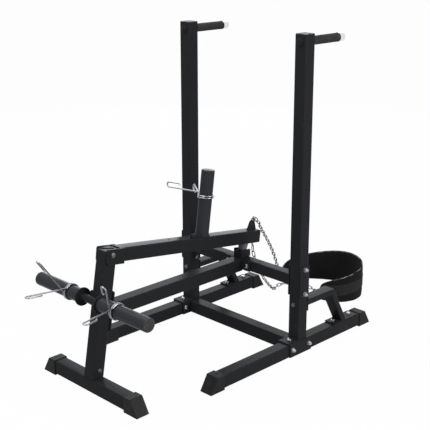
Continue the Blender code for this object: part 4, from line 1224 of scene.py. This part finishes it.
@dataclass
class Sleeves(Assembly):
    """Round sleeves that hold plates: two for storage on the front post and the horn on the lever."""

    storage_start: float = 0.0528
    disc: float = 0.029
    sheet: float = 0.005
    disc_rim: float = 0.0008
    sleeve_rim: float = 0.0006

    def build(self) -> list[bpy.types.Object]:
        """Builds the pieces.

        Returns:
            The objects made.
        """
        made = []
        for side, word in SIDES:
            node = "storage_sleeve_" + word
            # The storage sleeves take the lighter coat, whose colour is painted light.
            piece = Piece(node + "_turned", Body.FRAME, Slot.POWDER, LIT_SLEEVE_COAT, (node,))
            made.append(piece.make(self.tube(SLEEVE_RADIUS, self.storage_start, STORAGE_END, self.sleeve_rim),
                                   outward(side).at((0.0, STORAGE_Y, STORAGE_Z))))
        horn = self.tube(SLEEVE_RADIUS, GAP + self.sheet * 0.5, HORN_LENGTH, self.sleeve_rim)
        horn.add(self.tube(self.disc, GAP, GAP + self.sheet, self.disc_rim))
        # The horn takes the lighter coat, whose colour is painted light.
        piece = Piece("weight_horn_turned", Body.LEVER, Slot.POWDER, LIT_HORN_COAT, ("weight_horn",))
        made.append(piece.make(horn, Facing.UP.at((0, HORN_Y, LEVER_TOP), ARM)))
        return made

    def tube(self, radius: float, low: float, high: float, rim: float) -> Shape:
        """Shapes a round tube or disc with the sleeve's bore.

        Args:
            radius: Its outer radius.
            low: Height of its bottom.
            high: Height of its top.
            rim: Width of its eased rims.

        Returns:
            The tube.
        """
        bore = SLEEVE_RADIUS - SLEEVE_WALL
        return Shape().turned([(bore, low), (radius - rim, low), (radius, low + rim), (radius, high - rim),
                               (radius - rim, high), (bore, high)], 64, closed=True)


@dataclass
class Stop(Assembly):
    """The rubber bumper under the lever."""

    place: float = 0.685
    height: float = 0.0285
    top: float = 0.020
    foot: float = 0.016

    def build(self) -> list[bpy.types.Object]:
        """Builds the piece.

        Returns:
            The object made.
        """
        height, foot, top = self.height, self.foot, self.top
        shape = Shape().turned([
            (0.0, -height), (foot - 0.003, -height), (foot - 0.0008, -height + 0.0008),
            (foot, -height + 0.0030), (foot + 0.0016, -height * 0.55), (foot + 0.0026, -height * 0.40),
            (top - 0.0006, -height * 0.25), (top, -height * 0.18), (top, -0.0012), (top - 0.0006, -GAP),
            (0.0, -GAP)], 48)
        piece = Piece("stop_bumper_moulded", Body.LEVER, Slot.RUBBER, STOP_RUBBER, ("stop_bumper",))
        return [piece.make(shape, Facing.UP.at((0, self.place, LEVER_TOP - TUBE), ARM))]


@dataclass
class HornRib(Assembly):
    """The low rib that stands on the lever in front of the horn."""

    front: float = 0.3790
    rear: float = 0.4220
    middle: float = 0.0160
    width: float = 0.012
    height: float = 0.0145

    def build(self) -> list[bpy.types.Object]:
        """Builds the piece.

        Returns:
            The object made.
        """
        half = self.width / 2
        rib = Shape().box((self.middle - half, self.front, LEVER_TOP + GAP),
                          (self.middle + half, self.rear, LEVER_TOP + self.height))
        return [Piece("horn_rib_coated", Body.LEVER, Slot.POWDER, POWDER).make(rib.ease(0.0010), ARM)]


@dataclass
class SpringCollar(Assembly):
    """A spring collar of one wire: coil, two arms and a long loop at the end of each."""

    node: str
    body: Body
    matrix: Matrix
    splay: float
    leans: tuple[float, float] = (0.0, 0.0)
    wire: float = 0.0055
    pitch: float = 0.0068
    hook: float = math.radians(45.0)
    bend: float = 0.011
    arm: float = 0.109
    loop: float = 0.062
    width: float = 0.019
    play: float = 0.0006
    turn_points: int = 40
    hook_points: int = 10

    def build(self) -> list[bpy.types.Object]:
        """Builds the piece."""
        piece = Piece(self.node + "_sprung", self.body, Slot.COLLAR, COLLAR_STEEL, (self.node,), smooth=70.0)
        return [piece.make(Shape().wire(self.path(), self.wire / 2, resolution=4), self.matrix)]

    def path(self) -> list[Vector]:
        """Centre line of the wire round local Z.

        Returns:
            Its points, from the end of one loop to the end of the other.
        """
        radius = SLEEVE_RADIUS + self.play + self.wire / 2
        wrap = self.splay + self.hook
        sweep = 1.5 * math.tau + 2 * wrap
        start = 0.75 * math.tau - wrap
        steps = math.ceil(self.turn_points * sweep / math.tau)
        coil = []
        for i in range(steps + 1):
            angle = start + sweep * i / steps
            rise = self.pitch * sweep / math.tau * (i / steps - 0.5)
            coil.append(Vector((radius * math.cos(angle), radius * math.sin(angle), rise)))
        end = start + sweep
        first = self.handle(coil[0], Vector((math.sin(start), -math.cos(start), 0)), -1, self.leans[0])
        second = self.handle(coil[-1], Vector((-math.sin(end), math.cos(end), 0)), 1, self.leans[1])
        return first[::-1] + coil + second

    def handle(self, root: Vector, way: Vector, side: int, lean: float) -> list[Vector]:
        """Points of one handle from the coil out.

        Args:
            root: The coil's end.
            way: The direction that the wire leaves in.
            side: 1 where the loop stands up local Z and -1 where it stands down.
            lean: How far the arm is bent up local Z.

        Returns:
            The points of the arm, the long loop and its hooked end.
        """
        inward = Vector((way.y, -way.x, 0)) * side
        upward = Vector((0, 0, 1))
        points = []
        for step in range(self.hook_points):
            share = (step + 0.5) / self.hook_points
            level = way * math.cos(self.hook * share) + inward * math.sin(self.hook * share)
            ahead = level * math.cos(lean * share) + upward * math.sin(lean * share)
            points.append((points[-1] if points else root) + ahead * self.bend * self.hook / self.hook_points)
        root = points[-1]
        level = way * math.cos(self.hook) + inward * math.sin(self.hook)
        way = level * math.cos(lean) + upward * math.sin(lean)
        axis = (upward * math.cos(lean) - level * math.sin(lean)) * side
        half = self.width / 2
        begin = root + way * self.arm
        points += [root + way * self.arm * share for share in (0.25, 0.5, 0.75, 1.0)]
        for reach, start, sweep, steps in ((self.loop - half, -90, 180, 14), (half, 90, 70, 7)):
            middle = begin + way * reach + axis * half
            for i in range(steps + 1):
                angle = math.radians(start + sweep * i / steps)
                points.append(middle + (way * math.cos(angle) + axis * math.sin(angle)) * half)
        return points


def collars() -> list[SpringCollar]:
    """The three collars: on the horn and on each storage sleeve.

    Returns:
        The collars, not built yet.
    """
    turned = Matrix.Rotation(math.radians(-13.6), 4, "Z")
    horn = ARM @ Matrix.Translation((0, HORN_Y, LEVER_TOP + 0.151)) @ turned
    sleeve = Matrix.Rotation(math.pi / 2, 4, "Z") @ Matrix.Rotation(math.pi / 2, 4, "X")
    rows = [("collar_horn", Body.HORN_COLLAR, horn, 21.9, (4.6, -2.9))]
    for node, body, x, turn, splay, leans in (
            ("collar_left", Body.LEFT_COLLAR, -0.116, 28.8, 23.0, (7.8, 0.5)),
            ("collar_right", Body.RIGHT_COLLAR, 0.136, 30.3, 25.6, (32.0, 17.6))):
        stand = Matrix.Rotation(-math.radians(turn), 4, "X") @ sleeve
        rows.append((node, body, RIG @ Matrix.Translation((x, STORAGE_Y, STORAGE_Z)) @ stand, splay, leans))
    return [SpringCollar(node, body, matrix, math.radians(splay), tuple(map(math.radians, leans)))
            for node, body, matrix, splay, leans in rows]


@dataclass
class Route:
    """A smooth line through chosen points."""

    knots: Sequence[Vector]
    steps: int = 40

    def points(self, spacing: float) -> list[Vector]:
        """Evenly spaced points.

        Args:
            spacing: Wanted distance between them.

        Returns:
            The points, both ends included.
        """
        knots = list(self.knots)
        padded = [knots[0] * 2 - knots[1]] + knots + [knots[-1] * 2 - knots[-2]]
        dense: list[Vector] = []
        for a, b, c, d in zip(padded, padded[1:], padded[2:], padded[3:]):
            for i in range(self.steps):
                t = i / self.steps
                dense.append(0.5 * (2 * b + (c - a) * t + (2 * a - 5 * b + 4 * c - d) * t * t
                                    + (3 * b - a - 3 * c + d) * t ** 3))
        dense.append(knots[-1])
        lengths = [0.0]
        for first, second in zip(dense, dense[1:]):
            lengths.append(lengths[-1] + (second - first).length)
        count = max(1, round(lengths[-1] / spacing))
        route = []
        spot = 0
        for i in range(count + 1):
            wanted = lengths[-1] * i / count
            while spot < len(lengths) - 2 and lengths[spot + 1] < wanted:
                spot += 1
            span = max(lengths[spot + 1] - lengths[spot], 1e-9)
            route.append(dense[spot].lerp(dense[spot + 1], (wanted - lengths[spot]) / span))
        return route


BELT_PLAN = ((0.022, 0.466), (0.062, 0.482), (0.100, 0.504), (0.122, 0.535), (0.131, 0.575), (0.121, 0.625),
             (0.088, 0.668), (0.040, 0.695), (-0.010, 0.706), (-0.062, 0.698), (-0.115, 0.672),
             (-0.170, 0.633), (-0.212, 0.596), (-0.236, 0.556), (-0.241, 0.515))
BELT_END_HEIGHT = 0.066


def belt_line(spacing: float) -> list[Vector]:
    """Evenly spaced points on the floor under the belt's middle."""
    return Route([Vector((x, y, 0.0)) for x, y in BELT_PLAN]).points(spacing)


@dataclass
class Chains(Assembly):
    """Two strands of short link chain from the ring in the lever's tab to the rings in the belt's ends."""

    wire: float = 0.0036
    pitch: float = 0.0270
    width: float = 0.0152
    bite: float = 0.0010
    rest: float = 0.0066
    tab_ring: float = 0.0095
    tab_tilt: float = math.radians(55.0)
    tab_play: float = 0.0016
    belt_ring: float = 0.0135
    belt_offset: float = 0.0021
    tab_reach: float = 0.0135
    tab_hole: tuple[float, float] = (0.7234, LEVER_TOP + 0.0247)
    plan_spacing: float = 0.022
    left_bends: tuple[tuple[float, float, float], ...] = (
        (-0.004, 0.098, 0.428), (-0.030, 0.140, 0.389), (-0.135, 0.328, 0.224))
    right_bends: tuple[tuple[float, float, float], ...] = (
        (-0.025, 0.086, 0.437), (-0.040, 0.098, 0.408), (-0.045, 0.101, 0.370), (-0.043, 0.107, 0.312),
        (-0.050, 0.127, 0.257), (-0.088, 0.219, 0.145), (-0.115, 0.271, 0.100), (-0.148, 0.334, 0.052),
        (-0.183, 0.400, 0.0110), (-0.206, 0.446, 0.0066), (-0.203, 0.488, 0.0066), (-0.172, 0.522, 0.0066),
        (-0.122, 0.538, 0.0066), (-0.070, 0.528, 0.0066), (-0.028, 0.497, 0.017))

    def build(self) -> list[bpy.types.Object]:
        """Builds the pieces.

        Returns:
            The objects made.
        """
        hole = PIVOT + Matrix.Rotation(-LEVER_SLOPE, 3, "X") @ Vector((0, *self.tab_hole))
        hub = hole + self.tab_reach * Vector((0, math.cos(self.tab_tilt), math.sin(self.tab_tilt)))
        tab = (hub, self.tab_ring, self.tab_tilt)
        plan = belt_line(self.plan_spacing)
        rings = []
        for end, inner in ((plan[0], plan[1]), (plan[-1], plan[-2])):
            centre = end + Vector((0, 0, BELT_END_HEIGHT / 2)) + (end - inner).normalized() * self.belt_offset
            rings.append((centre, self.belt_ring, 0.0))
        right_ring, left_ring = rings
        tight, loose = -self.bite / 2, self.bite / 2 + self.tab_play
        bends = [Vector(bend) for bend in self.left_bends]
        knots = [self.eye(tab, 70, bends[0], tight)] + bends + [self.eye(left_ring, -68, bends[-1], tight)]
        made = [self.strand("chain_left", Route(knots).points(self.pitch), (tab, left_ring))]
        bends = [Vector(bend) for bend in self.right_bends]
        knots = [self.eye(tab, 112, bends[0], loose)] + bends + [self.eye(right_ring, 153, bends[-1], tight)]
        made.append(self.strand("chain_right", Route(knots).points(self.pitch), (right_ring,)))
        return made

    def round_ring(self, centre: Vector, radius: float, tilt: float) -> tuple[Shape, Matrix]:
        """A closed ring and where it goes."""
        ring = self.bow(radius, 40, math.tau)
        return ring, Matrix.Translation(centre) @ Matrix.Rotation(tilt, 4, "X")

    def bow(self, radius: float, steps: int, angle: float) -> Shape:
        """Shapes a round bar bent about Z from +X.

        Args:
            radius: Radius of the bend.
            steps: Faces along it.
            angle: How far it goes round.

        Returns:
            The bar, open at its ends unless it goes all the way round.
        """
        shape = Shape()
        mesh = shape.mesh
        matrix = Matrix.Translation((radius, 0, 0)) @ Matrix.Rotation(math.pi / 2, 4, "X")
        section = bmesh.ops.create_circle(mesh, segments=12, radius=self.wire / 2, matrix=matrix)["verts"]
        edges = list({edge for vertex in section for edge in vertex.link_edges})
        bmesh.ops.spin(mesh, geom=section + edges, cent=(0, 0, 0), axis=(0, 0, 1), angle=angle, steps=steps,
                       use_merge=angle >= math.tau)
        return shape

    def link(self, length: float) -> Shape:
        """One link, its length along X and its flat in the XY plane.

        Args:
            length: The pitch that it bridges.

        Returns:
            The link's shape, its middle at the origin.
        """
        radius = (self.width - self.wire) / 2
        straight = length / 2 + (self.wire - self.bite) / 2 - radius
        shape = self.bow(radius, 10, math.pi)
        mesh = shape.mesh
        quarter = Matrix.Rotation(-math.pi / 2, 3, "Z")
        bmesh.ops.rotate(mesh, verts=mesh.verts[:], cent=(0, 0, 0), matrix=quarter)
        bmesh.ops.translate(mesh, verts=mesh.verts[:], vec=(straight, 0, 0))
        other = bmesh.ops.duplicate(mesh, geom=mesh.verts[:] + mesh.edges[:] + mesh.faces[:])["geom"]
        verts = [item for item in other if isinstance(item, bmesh.types.BMVert)]
        bmesh.ops.rotate(mesh, verts=verts, cent=(0, 0, 0), matrix=Matrix.Rotation(math.pi, 3, "Z"))
        rims = [edge for edge in mesh.edges if len(edge.link_faces) == 1]
        for sign in (-1, 1):
            pair = [edge for edge in rims if sign * (edge.verts[0].co.y + edge.verts[1].co.y) > 0]
            bmesh.ops.bridge_loops(mesh, edges=pair)
        return shape

    def eye(self, ring: tuple[Vector, float, float], heading: float, aim: Vector, slack: float) -> Vector:
        """Joint point of a link that is caught on a ring and pulls towards a point.

        Args:
            ring: The ring's centre, radius and tilt.
            heading: Where on the ring, in degrees.
            aim: What the link pulls towards.
            slack: Play between link and ring.

        Returns:
            The joint point.
        """
        centre, radius, tilt = ring
        angle = math.radians(heading)
        wire = centre + radius * Vector((math.cos(angle), math.sin(angle) * math.cos(tilt),
                                         math.sin(angle) * math.sin(tilt)))
        return wire - (aim - wire).normalized() * (self.wire / 2 + slack)

    def strand(self, node: str, route: list[Vector], rings: Sequence[tuple[Vector, float, float]]
               ) -> bpy.types.Object:
        """One strand with its rings.

        Args:
            node: The solid that it stands for.
            route: The links' joint points.
            rings: Centre, radius and tilt of each ring on it.

        Returns:
            The object.
        """
        whole = Shape()
        for index, (first, second) in enumerate(zip(route, route[1:])):
            way = (second - first).normalized()
            side = way.cross(Vector((0, 0, 1)))
            side = side.normalized() if side.length > 0.05 else Vector((1, 0, 0))
            lying = math.pi / 4 if node == "chain_right" and first.z < 2 * self.rest else 0.0
            flat = Matrix.Rotation(math.pi / 2 * (index % 2 + 1) + lying, 3, way) @ side
            matrix = Matrix((way, flat, way.cross(flat))).transposed().to_4x4()
            matrix.translation = (first + second) / 2
            whole.add(self.link((second - first).length), matrix)
        for ring in rings:
            whole.add(*self.round_ring(*ring))
        piece = Piece(node + "_forged", Body.BELT, Slot.CHAIN, CHAIN_STEEL, (node,), smooth=70.0)
        return piece.make(whole, RIG)


@dataclass
class HipBelt(Assembly):
    """The padded hip belt: an open loop on the floor with bound edges and webbing sewn round its outside; the
    light grey tape of the bound edges is a painted highlight for the belt's lit top edge.
    """

    thickness: float = 0.0078
    end_height: float = BELT_END_HEIGHT
    middle_height: float = 0.149
    corner: float = 0.016
    columns: int = 130
    rows: int = 26
    # Radius of the light bound tape, which carries the painted highlight of the belt's top edge.
    binding: float = 0.0023
    strap_width: float = 0.048
    strap_thickness: float = 0.0016
    eyelet: float = 0.007
    eyelet_inset: float = 0.014
    edge_share: float = 0.42
    crown_width: float = 0.014
    seam_depth: float = 0.0095
    seam_width: float = 0.0022
    seam_pinch: float = 0.30
    wave: float = 0.0004
    strap_span: tuple[float, float] = (0.012, 0.988)
    stitch: float = 0.0060
    stitch_half: float = 0.0019
    stitch_inset: float = 0.0035
    stitch_start: float = 0.02
    stitch_share: float = 0.96
    thread: float = 0.00045
    spacing: float = 0.004
    route: list[Vector] = field(default_factory=list)

    def build(self) -> list[bpy.types.Object]:
        """Builds the pieces.

        Returns:
            The objects made.
        """
        self.route = belt_line(self.spacing)
        band = self.mapped(self.columns, self.rows, self.pad_point)
        pad = self.piece("hip_belt_pad", PAD_CLOTH, ("hip_belt",)).make(band, RIG)
        band = self.mapped(self.columns, 8, self.strap_point, self.strap_span)
        strap = self.piece("hip_belt_strap", STRAP_CLOTH).make(band, RIG)
        # The light bound tape round the outline: a painted highlight for the belt's lit top edge.
        edge = self.piece("hip_belt_binding_painted_highlight", HIGHLIGHT_BINDING_CLOTH).make(self.highlight_binding(), RIG)
        seams = self.piece("hip_belt_stitches", THREAD_CLOTH).make(self.stitches(), RIG)
        eyes = Shape()
        for share, sign in ((0.0, 1.0), (1.0, -1.0)):
            eyes.add(self.eyelet_ring(), self.eyelet_place(share, sign))
        steel = Piece("hip_belt_eyelets", Body.BELT, Slot.CHAIN, CHAIN_STEEL).make(eyes, RIG)
        return [pad, strap, edge, seams, steel]

    def piece(self, name: str, finish: Finish, stands_for: tuple[str, ...] = ()) -> Piece:
        """A cloth piece of the belt."""
        return Piece(name, Body.BELT, Slot.CLOTH, finish, stands_for, smooth=60.0)

    def length(self) -> float:
        """Length of the belt along its middle line."""
        return sum((b - a).length for a, b in zip(self.route, self.route[1:]))

    def height(self, share: float) -> float:
        """Height of the belt at a share of its length."""
        swell = max(0.0, math.sin(math.pi * share)) ** 0.7
        return self.end_height + (self.middle_height - self.end_height) * swell

    def trim(self, share: float) -> float:
        """How much the rounded corners take off the top and the bottom.

        Args:
            share: Share of the belt's length.

        Returns:
            The height taken off at each edge.
        """
        reach = min(share, 1.0 - share) * self.length()
        if reach >= self.corner:
            return 0.0
        return self.corner - math.sqrt(max(0.0, self.corner ** 2 - (self.corner - reach) ** 2))

    def spot(self, share: float, up: float, out: float) -> Vector:
        """A point of the belt.

        Args:
            share: Share of the length.
            up: Share of the height.
            out: Distance outwards from the middle surface.

        Returns:
            The point in the rig's frame.
        """
        place = min(max(share, 0.0), 1.0) * (len(self.route) - 1)
        index = min(int(place), len(self.route) - 2)
        here = self.route[index].lerp(self.route[index + 1], place - index)
        low, high = max(index - 1, 0), min(index + 2, len(self.route) - 1)
        ahead = self.route[high] - self.route[low]
        normal = Vector((ahead.y, -ahead.x, 0.0)).normalized()
        trim = self.trim(share)
        level = trim + (self.height(share) - 2 * trim) * up
        return here + normal * out + Vector((0, 0, level))

    def mapped(self, columns: int, rows: int, place: Callable[[float, float, float], Vector],
               span: tuple[float, float] = (0.0, 1.0)) -> Shape:
        """A closed band over the belt's plan, with a cloth map in metres.

        Args:
            columns: Faces along the belt.
            rows: Faces up it.
            place: Turns share, up and side (0 or 1) into a point.
            span: First and last share of the length.

        Returns:
            The band.
        """
        shape = Shape()
        mesh = shape.mesh
        flat = Matrix.Translation((0.5, 0.5, 0.0)) @ Matrix.Diagonal((0.5, 0.5, 1.0, 1.0))
        bmesh.ops.create_grid(mesh, x_segments=columns, y_segments=rows, size=1.0, matrix=flat)
        raised = bmesh.ops.extrude_face_region(mesh, geom=mesh.faces[:])["geom"]
        verts = [item for item in raised if isinstance(item, bmesh.types.BMVert)]
        bmesh.ops.translate(mesh, vec=(0, 0, 1), verts=verts)
        layer = mesh.loops.layers.uv.new("cloth")
        long, tall = self.length() * (span[1] - span[0]), self.middle_height
        for face in mesh.faces:
            for loop in face.loops:
                loop[layer].uv = (loop.vert.co.x * long, (loop.vert.co.y + 0.06 * loop.vert.co.z) * tall)
        for vertex in mesh.verts:
            share, up, side = vertex.co
            vertex.co = place(span[0] + (span[1] - span[0]) * share, up, side)
        return shape

    def swollen(self, share: float, up: float) -> float:
        """Half of the pad's thickness, crowned between its bound edges and pinched by a seam all round.

        Args:
            share: Share of the belt's length.
            up: Share of its height.

        Returns:
            The half thickness there.
        """
        tall = self.height(share)
        from_edge = min(up, 1.0 - up) * tall
        from_end = min(share, 1.0 - share) * self.length()
        near = min(from_edge, from_end + 0.002)
        crown = self.edge_share + (1.0 - self.edge_share) * min(1.0, near / self.crown_width) ** 0.6
        seam = self.seam_pinch * math.exp(-((near - self.seam_depth) / self.seam_width) ** 2)
        return self.thickness / 2 * max(0.3, crown - seam)

    def strap_reach(self, share: float) -> float:
        """The webbing's width as a share of the belt's height."""
        tall = self.height(share)
        return min(self.strap_width, tall * 0.60) / tall

    def pad_point(self, share: float, up: float, side: float) -> Vector:
        """A point of the pad, whose faces have soft waves.

        Args:
            share: Share of the belt's length.
            up: Share of its height.
            side: 0 for the inner face and 1 for the outer face.

        Returns:
            The point in the rig's frame.
        """
        ripple = self.wave * noise.noise(Vector((share * 24, up * 3, 2.0 + side)))
        half = self.swollen(share, up) + ripple
        return self.spot(share, up, half if side else -half)

    def strap_point(self, share: float, up: float, side: float) -> Vector:
        """A point of the webbing, which is a little thinner along its edges.

        Args:
            share: Share of the belt's length.
            up: Share of the webbing's width.
            side: 0 for the face on the pad and 1 for the outer face.

        Returns:
            The point in the rig's frame.
        """
        level = 0.5 + (up - 0.5) * self.strap_reach(share)
        thick = 1.0 if 0.02 < up < 0.98 else 0.75
        out = self.swollen(share, level) - 0.0002 + side * self.strap_thickness * thick
        return self.spot(share, level, out)

    def highlight_binding(self) -> Shape:
        """Shapes the tape bound round the belt's outline, whose light grey colour is a painted highlight for
        the belt's lit top edge.

        Returns:
            The tape, with its cloth map.
        """
        count, rise = 150, 8
        top = [self.spot(i / count, 1.0, 0.0) for i in range(count + 1)]
        end = [self.spot(1.0, 1.0 - i / rise, 0.0) for i in range(1, rise)]
        low = [self.spot(1.0 - i / count, 0.0, 0.0) for i in range(count + 1)]
        start = [self.spot(0.0, i / rise, 0.0) for i in range(1, rise)]
        inset = Vector((0, 0, self.binding))
        points = [p - inset for p in top] + end + [p + inset for p in low] + start
        shape = Shape().wire(points, self.binding, True, 2)
        layer = shape.mesh.loops.layers.uv.new("cloth")
        for face in shape.mesh.faces:
            for loop in face.loops:
                loop[layer].uv = (loop.vert.co.x + loop.vert.co.y, loop.vert.co.z)
        return shape

    def stitches(self) -> Shape:
        """Shapes the rows of thread along both edges of the webbing.

        Returns:
            The stitches.
        """
        shape = Shape()
        count = int(self.length() * self.stitch_share / self.stitch)
        reach = self.stitch_half / self.length()
        for sign in (1, -1):
            for index in range(count):
                share = self.stitch_start + self.stitch_share * index / count
                level = 0.5 + sign * (self.strap_reach(share) / 2 - self.stitch_inset / self.height(share))
                out = self.swollen(share, level) + self.strap_thickness * 0.92
                points = [self.spot(share + step * reach, level, out + rise)
                          for step, rise in ((-1, -0.0002), (0, 0.0003), (1, -0.0002))]
                shape.wire(points, self.thread, False, 0)
        return shape

    def eyelet_ring(self) -> Shape:
        """Shapes a pressed steel eyelet.

        Returns:
            The eyelet, its bore along local Z.
        """
        half = self.thickness / 2 + 0.0004
        inner, outer = self.eyelet - 0.0010, self.eyelet + 0.0028
        profile = [(inner, -half), (inner + 0.0006, -half - 0.0007), (outer - 0.0008, -half - 0.0005),
                   (outer, -half + 0.0001), (inner + 0.0008, -half + 0.0003), (inner + 0.0008, half - 0.0003),
                   (outer, half - 0.0001), (outer - 0.0008, half + 0.0005), (inner + 0.0006, half + 0.0007),
                   (inner, half)]
        return Shape().turned(profile, 32, closed=True)

    def eyelet_place(self, share: float, sign: float) -> Matrix:
        """Places an eyelet with its bore square to the belt.

        Args:
            share: Share of the length where the belt ends.
            sign: 1 where the belt goes on to larger shares and -1 where it goes on to smaller ones.

        Returns:
            The matrix from the eyelet's own frame to the rig's.
        """
        here = share + sign * self.eyelet_inset / self.length()
        spot = self.spot(here, 0.5, 0.0)
        spot.z = self.end_height / 2
        out = (self.spot(here, 0.5, 0.01) - self.spot(here, 0.5, 0.0)).normalized()
        return Matrix.Translation(spot) @ out.to_track_quat("Z", "Y").to_matrix().to_4x4()


@dataclass
class Carried(Assembly):
    """Solids whose shape is right as it is, which only take a finish."""

    finishes: tuple[tuple[str, Finish], ...] = (("pivot_bush", BUSH_STEEL),)

    def build(self) -> list[bpy.types.Object]:
        """Dresses the solids.

        Returns:
            The solids' own objects.
        """
        made = []
        for node, finish in self.finishes:
            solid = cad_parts[node]
            solid.data.materials.clear()
            solid.data.materials.append(finish.material())
            made.append(solid)
        return made


@dataclass
class Studio:
    """The white room, its soft lamps and the camera."""

    place: Vector = field(default_factory=lambda: Vector((2.4402, -2.4517, 1.5761)))
    azimuth: float = math.radians(45.262)
    pitch: float = math.radians(17.197)
    roll: float = math.radians(-0.07)
    lens: float = 80.06
    sensor: float = 36.0
    daylight: float = 0.42
    floor_light: float = 0.98
    floor_half: float = 45.0
    floor_drop: float = 0.0004
    lamps: tuple[tuple[str, Point, Point, float, float, Colour], ...] = (
        ("key", (-1.2, -0.4, 3.4), (0.0, 0.1, 0.4), 2.6, 105.0, (0.90, 0.95, 1.0)),
        ("front_fill", (0.6, -3.0, 2.9), (0.0, 0.1, 0.9), 1.8, 85.0, (1.0, 1.0, 1.0)),
        ("side_fill", (4.2, 1.2, 1.6), (0.0, 0.1, 0.5), 2.6, 185.0, (1.0, 1.0, 1.0)),
        ("back_glow", (-3.0, 3.1, 1.8), (0.0, 0.0, 0.3), 3.2, 85.0, (0.88, 0.94, 1.0)))

    def build(self) -> None:
        """Builds the room, the lamps and the camera."""
        self.camera()
        self.world()
        self.floor()
        for lamp in self.lamps:
            self.lamp(*lamp)
        bpy.context.scene.view_settings.view_transform = "Standard"

    def camera(self) -> None:
        """Creates the camera at the photograph's viewpoint."""
        data = bpy.data.cameras.new("camera")
        data.lens = self.lens
        data.sensor_width = self.sensor
        data.clip_end = 60.0
        made = bpy.data.objects.new("camera", data)
        bpy.context.scene.collection.objects.link(made)
        level = math.cos(self.pitch)
        right = Vector((math.cos(self.azimuth), math.sin(self.azimuth), 0.0))
        ahead = Vector((-right.y * level, right.x * level, -math.sin(self.pitch)))
        up = right.cross(ahead)
        turn = Matrix((right, up, -ahead)).transposed().to_4x4()
        made.matrix_world = Matrix.Translation(self.place) @ turn @ Matrix.Rotation(self.roll, 4, "Z")
        bpy.context.scene.camera = made

    def world(self) -> None:
        """White to look at, and a soft even light on the object."""
        world = bpy.data.worlds.new("room")
        bpy.context.scene.world = world
        world.use_nodes = True
        nodes = Nodes(world.node_tree)
        light = nodes.tree.nodes["Background"]
        nodes.feed(light.inputs["Color"], (1.0, 1.0, 1.0))
        nodes.feed(light.inputs["Strength"], nodes.seen() * (1.0 - self.daylight) + self.daylight)

    def floor(self) -> None:
        """A pale floor that shows white and keeps a faint shadow."""
        shape = Shape()
        bmesh.ops.create_grid(shape.mesh, x_segments=1, y_segments=1, size=self.floor_half)
        bmesh.ops.translate(shape.mesh, verts=shape.mesh.verts[:], vec=(0, 0, -self.floor_drop))
        data = bpy.data.meshes.new("floor")
        shape.mesh.to_mesh(data)
        shape.mesh.free()
        made = bpy.data.objects.new("floor", data)
        bpy.context.scene.collection.objects.link(made)
        paint = Paint("pale_floor")
        speck = paint.grain(0.02, 3.0)
        paint.set(base_color=paint.blend(speck * 0.3, (0.38, 0.38, 0.38), (0.35, 0.35, 0.35)), roughness=0.9,
                  specular_ior_level=0.0)
        glow = paint.node("ShaderNodeEmission", None, {"Color": (1.0, 1.0, 1.0), "Strength": 1.0})
        mixed = paint.node("ShaderNodeMixShader", None, {
            0: paint.seen() * self.floor_light, 1: paint.shader.outputs[0], 2: glow.outputs[0]})
        output = next(node for node in paint.tree.nodes if node.type == "OUTPUT_MATERIAL")
        paint.feed(output.inputs["Surface"], mixed.outputs[0])
        data.materials.append(paint.material)

    def lamp(self, name: str, place: Sequence[float], aim: Sequence[float], size: float, power: float,
             colour: Colour) -> None:
        """Adds one soft lamp.

        Args:
            name: The lamp's name.
            place: Where it hangs.
            aim: What it points at.
            size: Its side.
            power: Its power in watts.
            colour: Its light's colour.
        """
        data = bpy.data.lights.new(name, "AREA")
        data.shape = "SQUARE"
        data.size = size
        data.energy = power
        data.color = colour
        made = bpy.data.objects.new(name, data)
        bpy.context.scene.collection.objects.link(made)
        made.location = place
        made.rotation_euler = (Vector(aim) - Vector(place)).to_track_quat("-Z", "Y").to_euler()


def main() -> None:
    """Builds the studio and every assembly in order, and reports each piece."""
    logging.basicConfig(level=logging.INFO, format="%(message)s")
    Studio().build()
    assemblies: list[Assembly] = [
        CoatedSteel(), Welds(), FootCaps(), Plugs(), Fasteners(), Handles(), Sleeves(), Stop(), HornRib(),
        *collars(), Chains(), HipBelt(), Carried()]
    for assembly in assemblies:
        for made in assembly.build():
            LOG.info("%s: %s, %d faces", type(assembly).__name__, made.name, len(made.data.polygons))


if __name__ == "__main__":
    main()
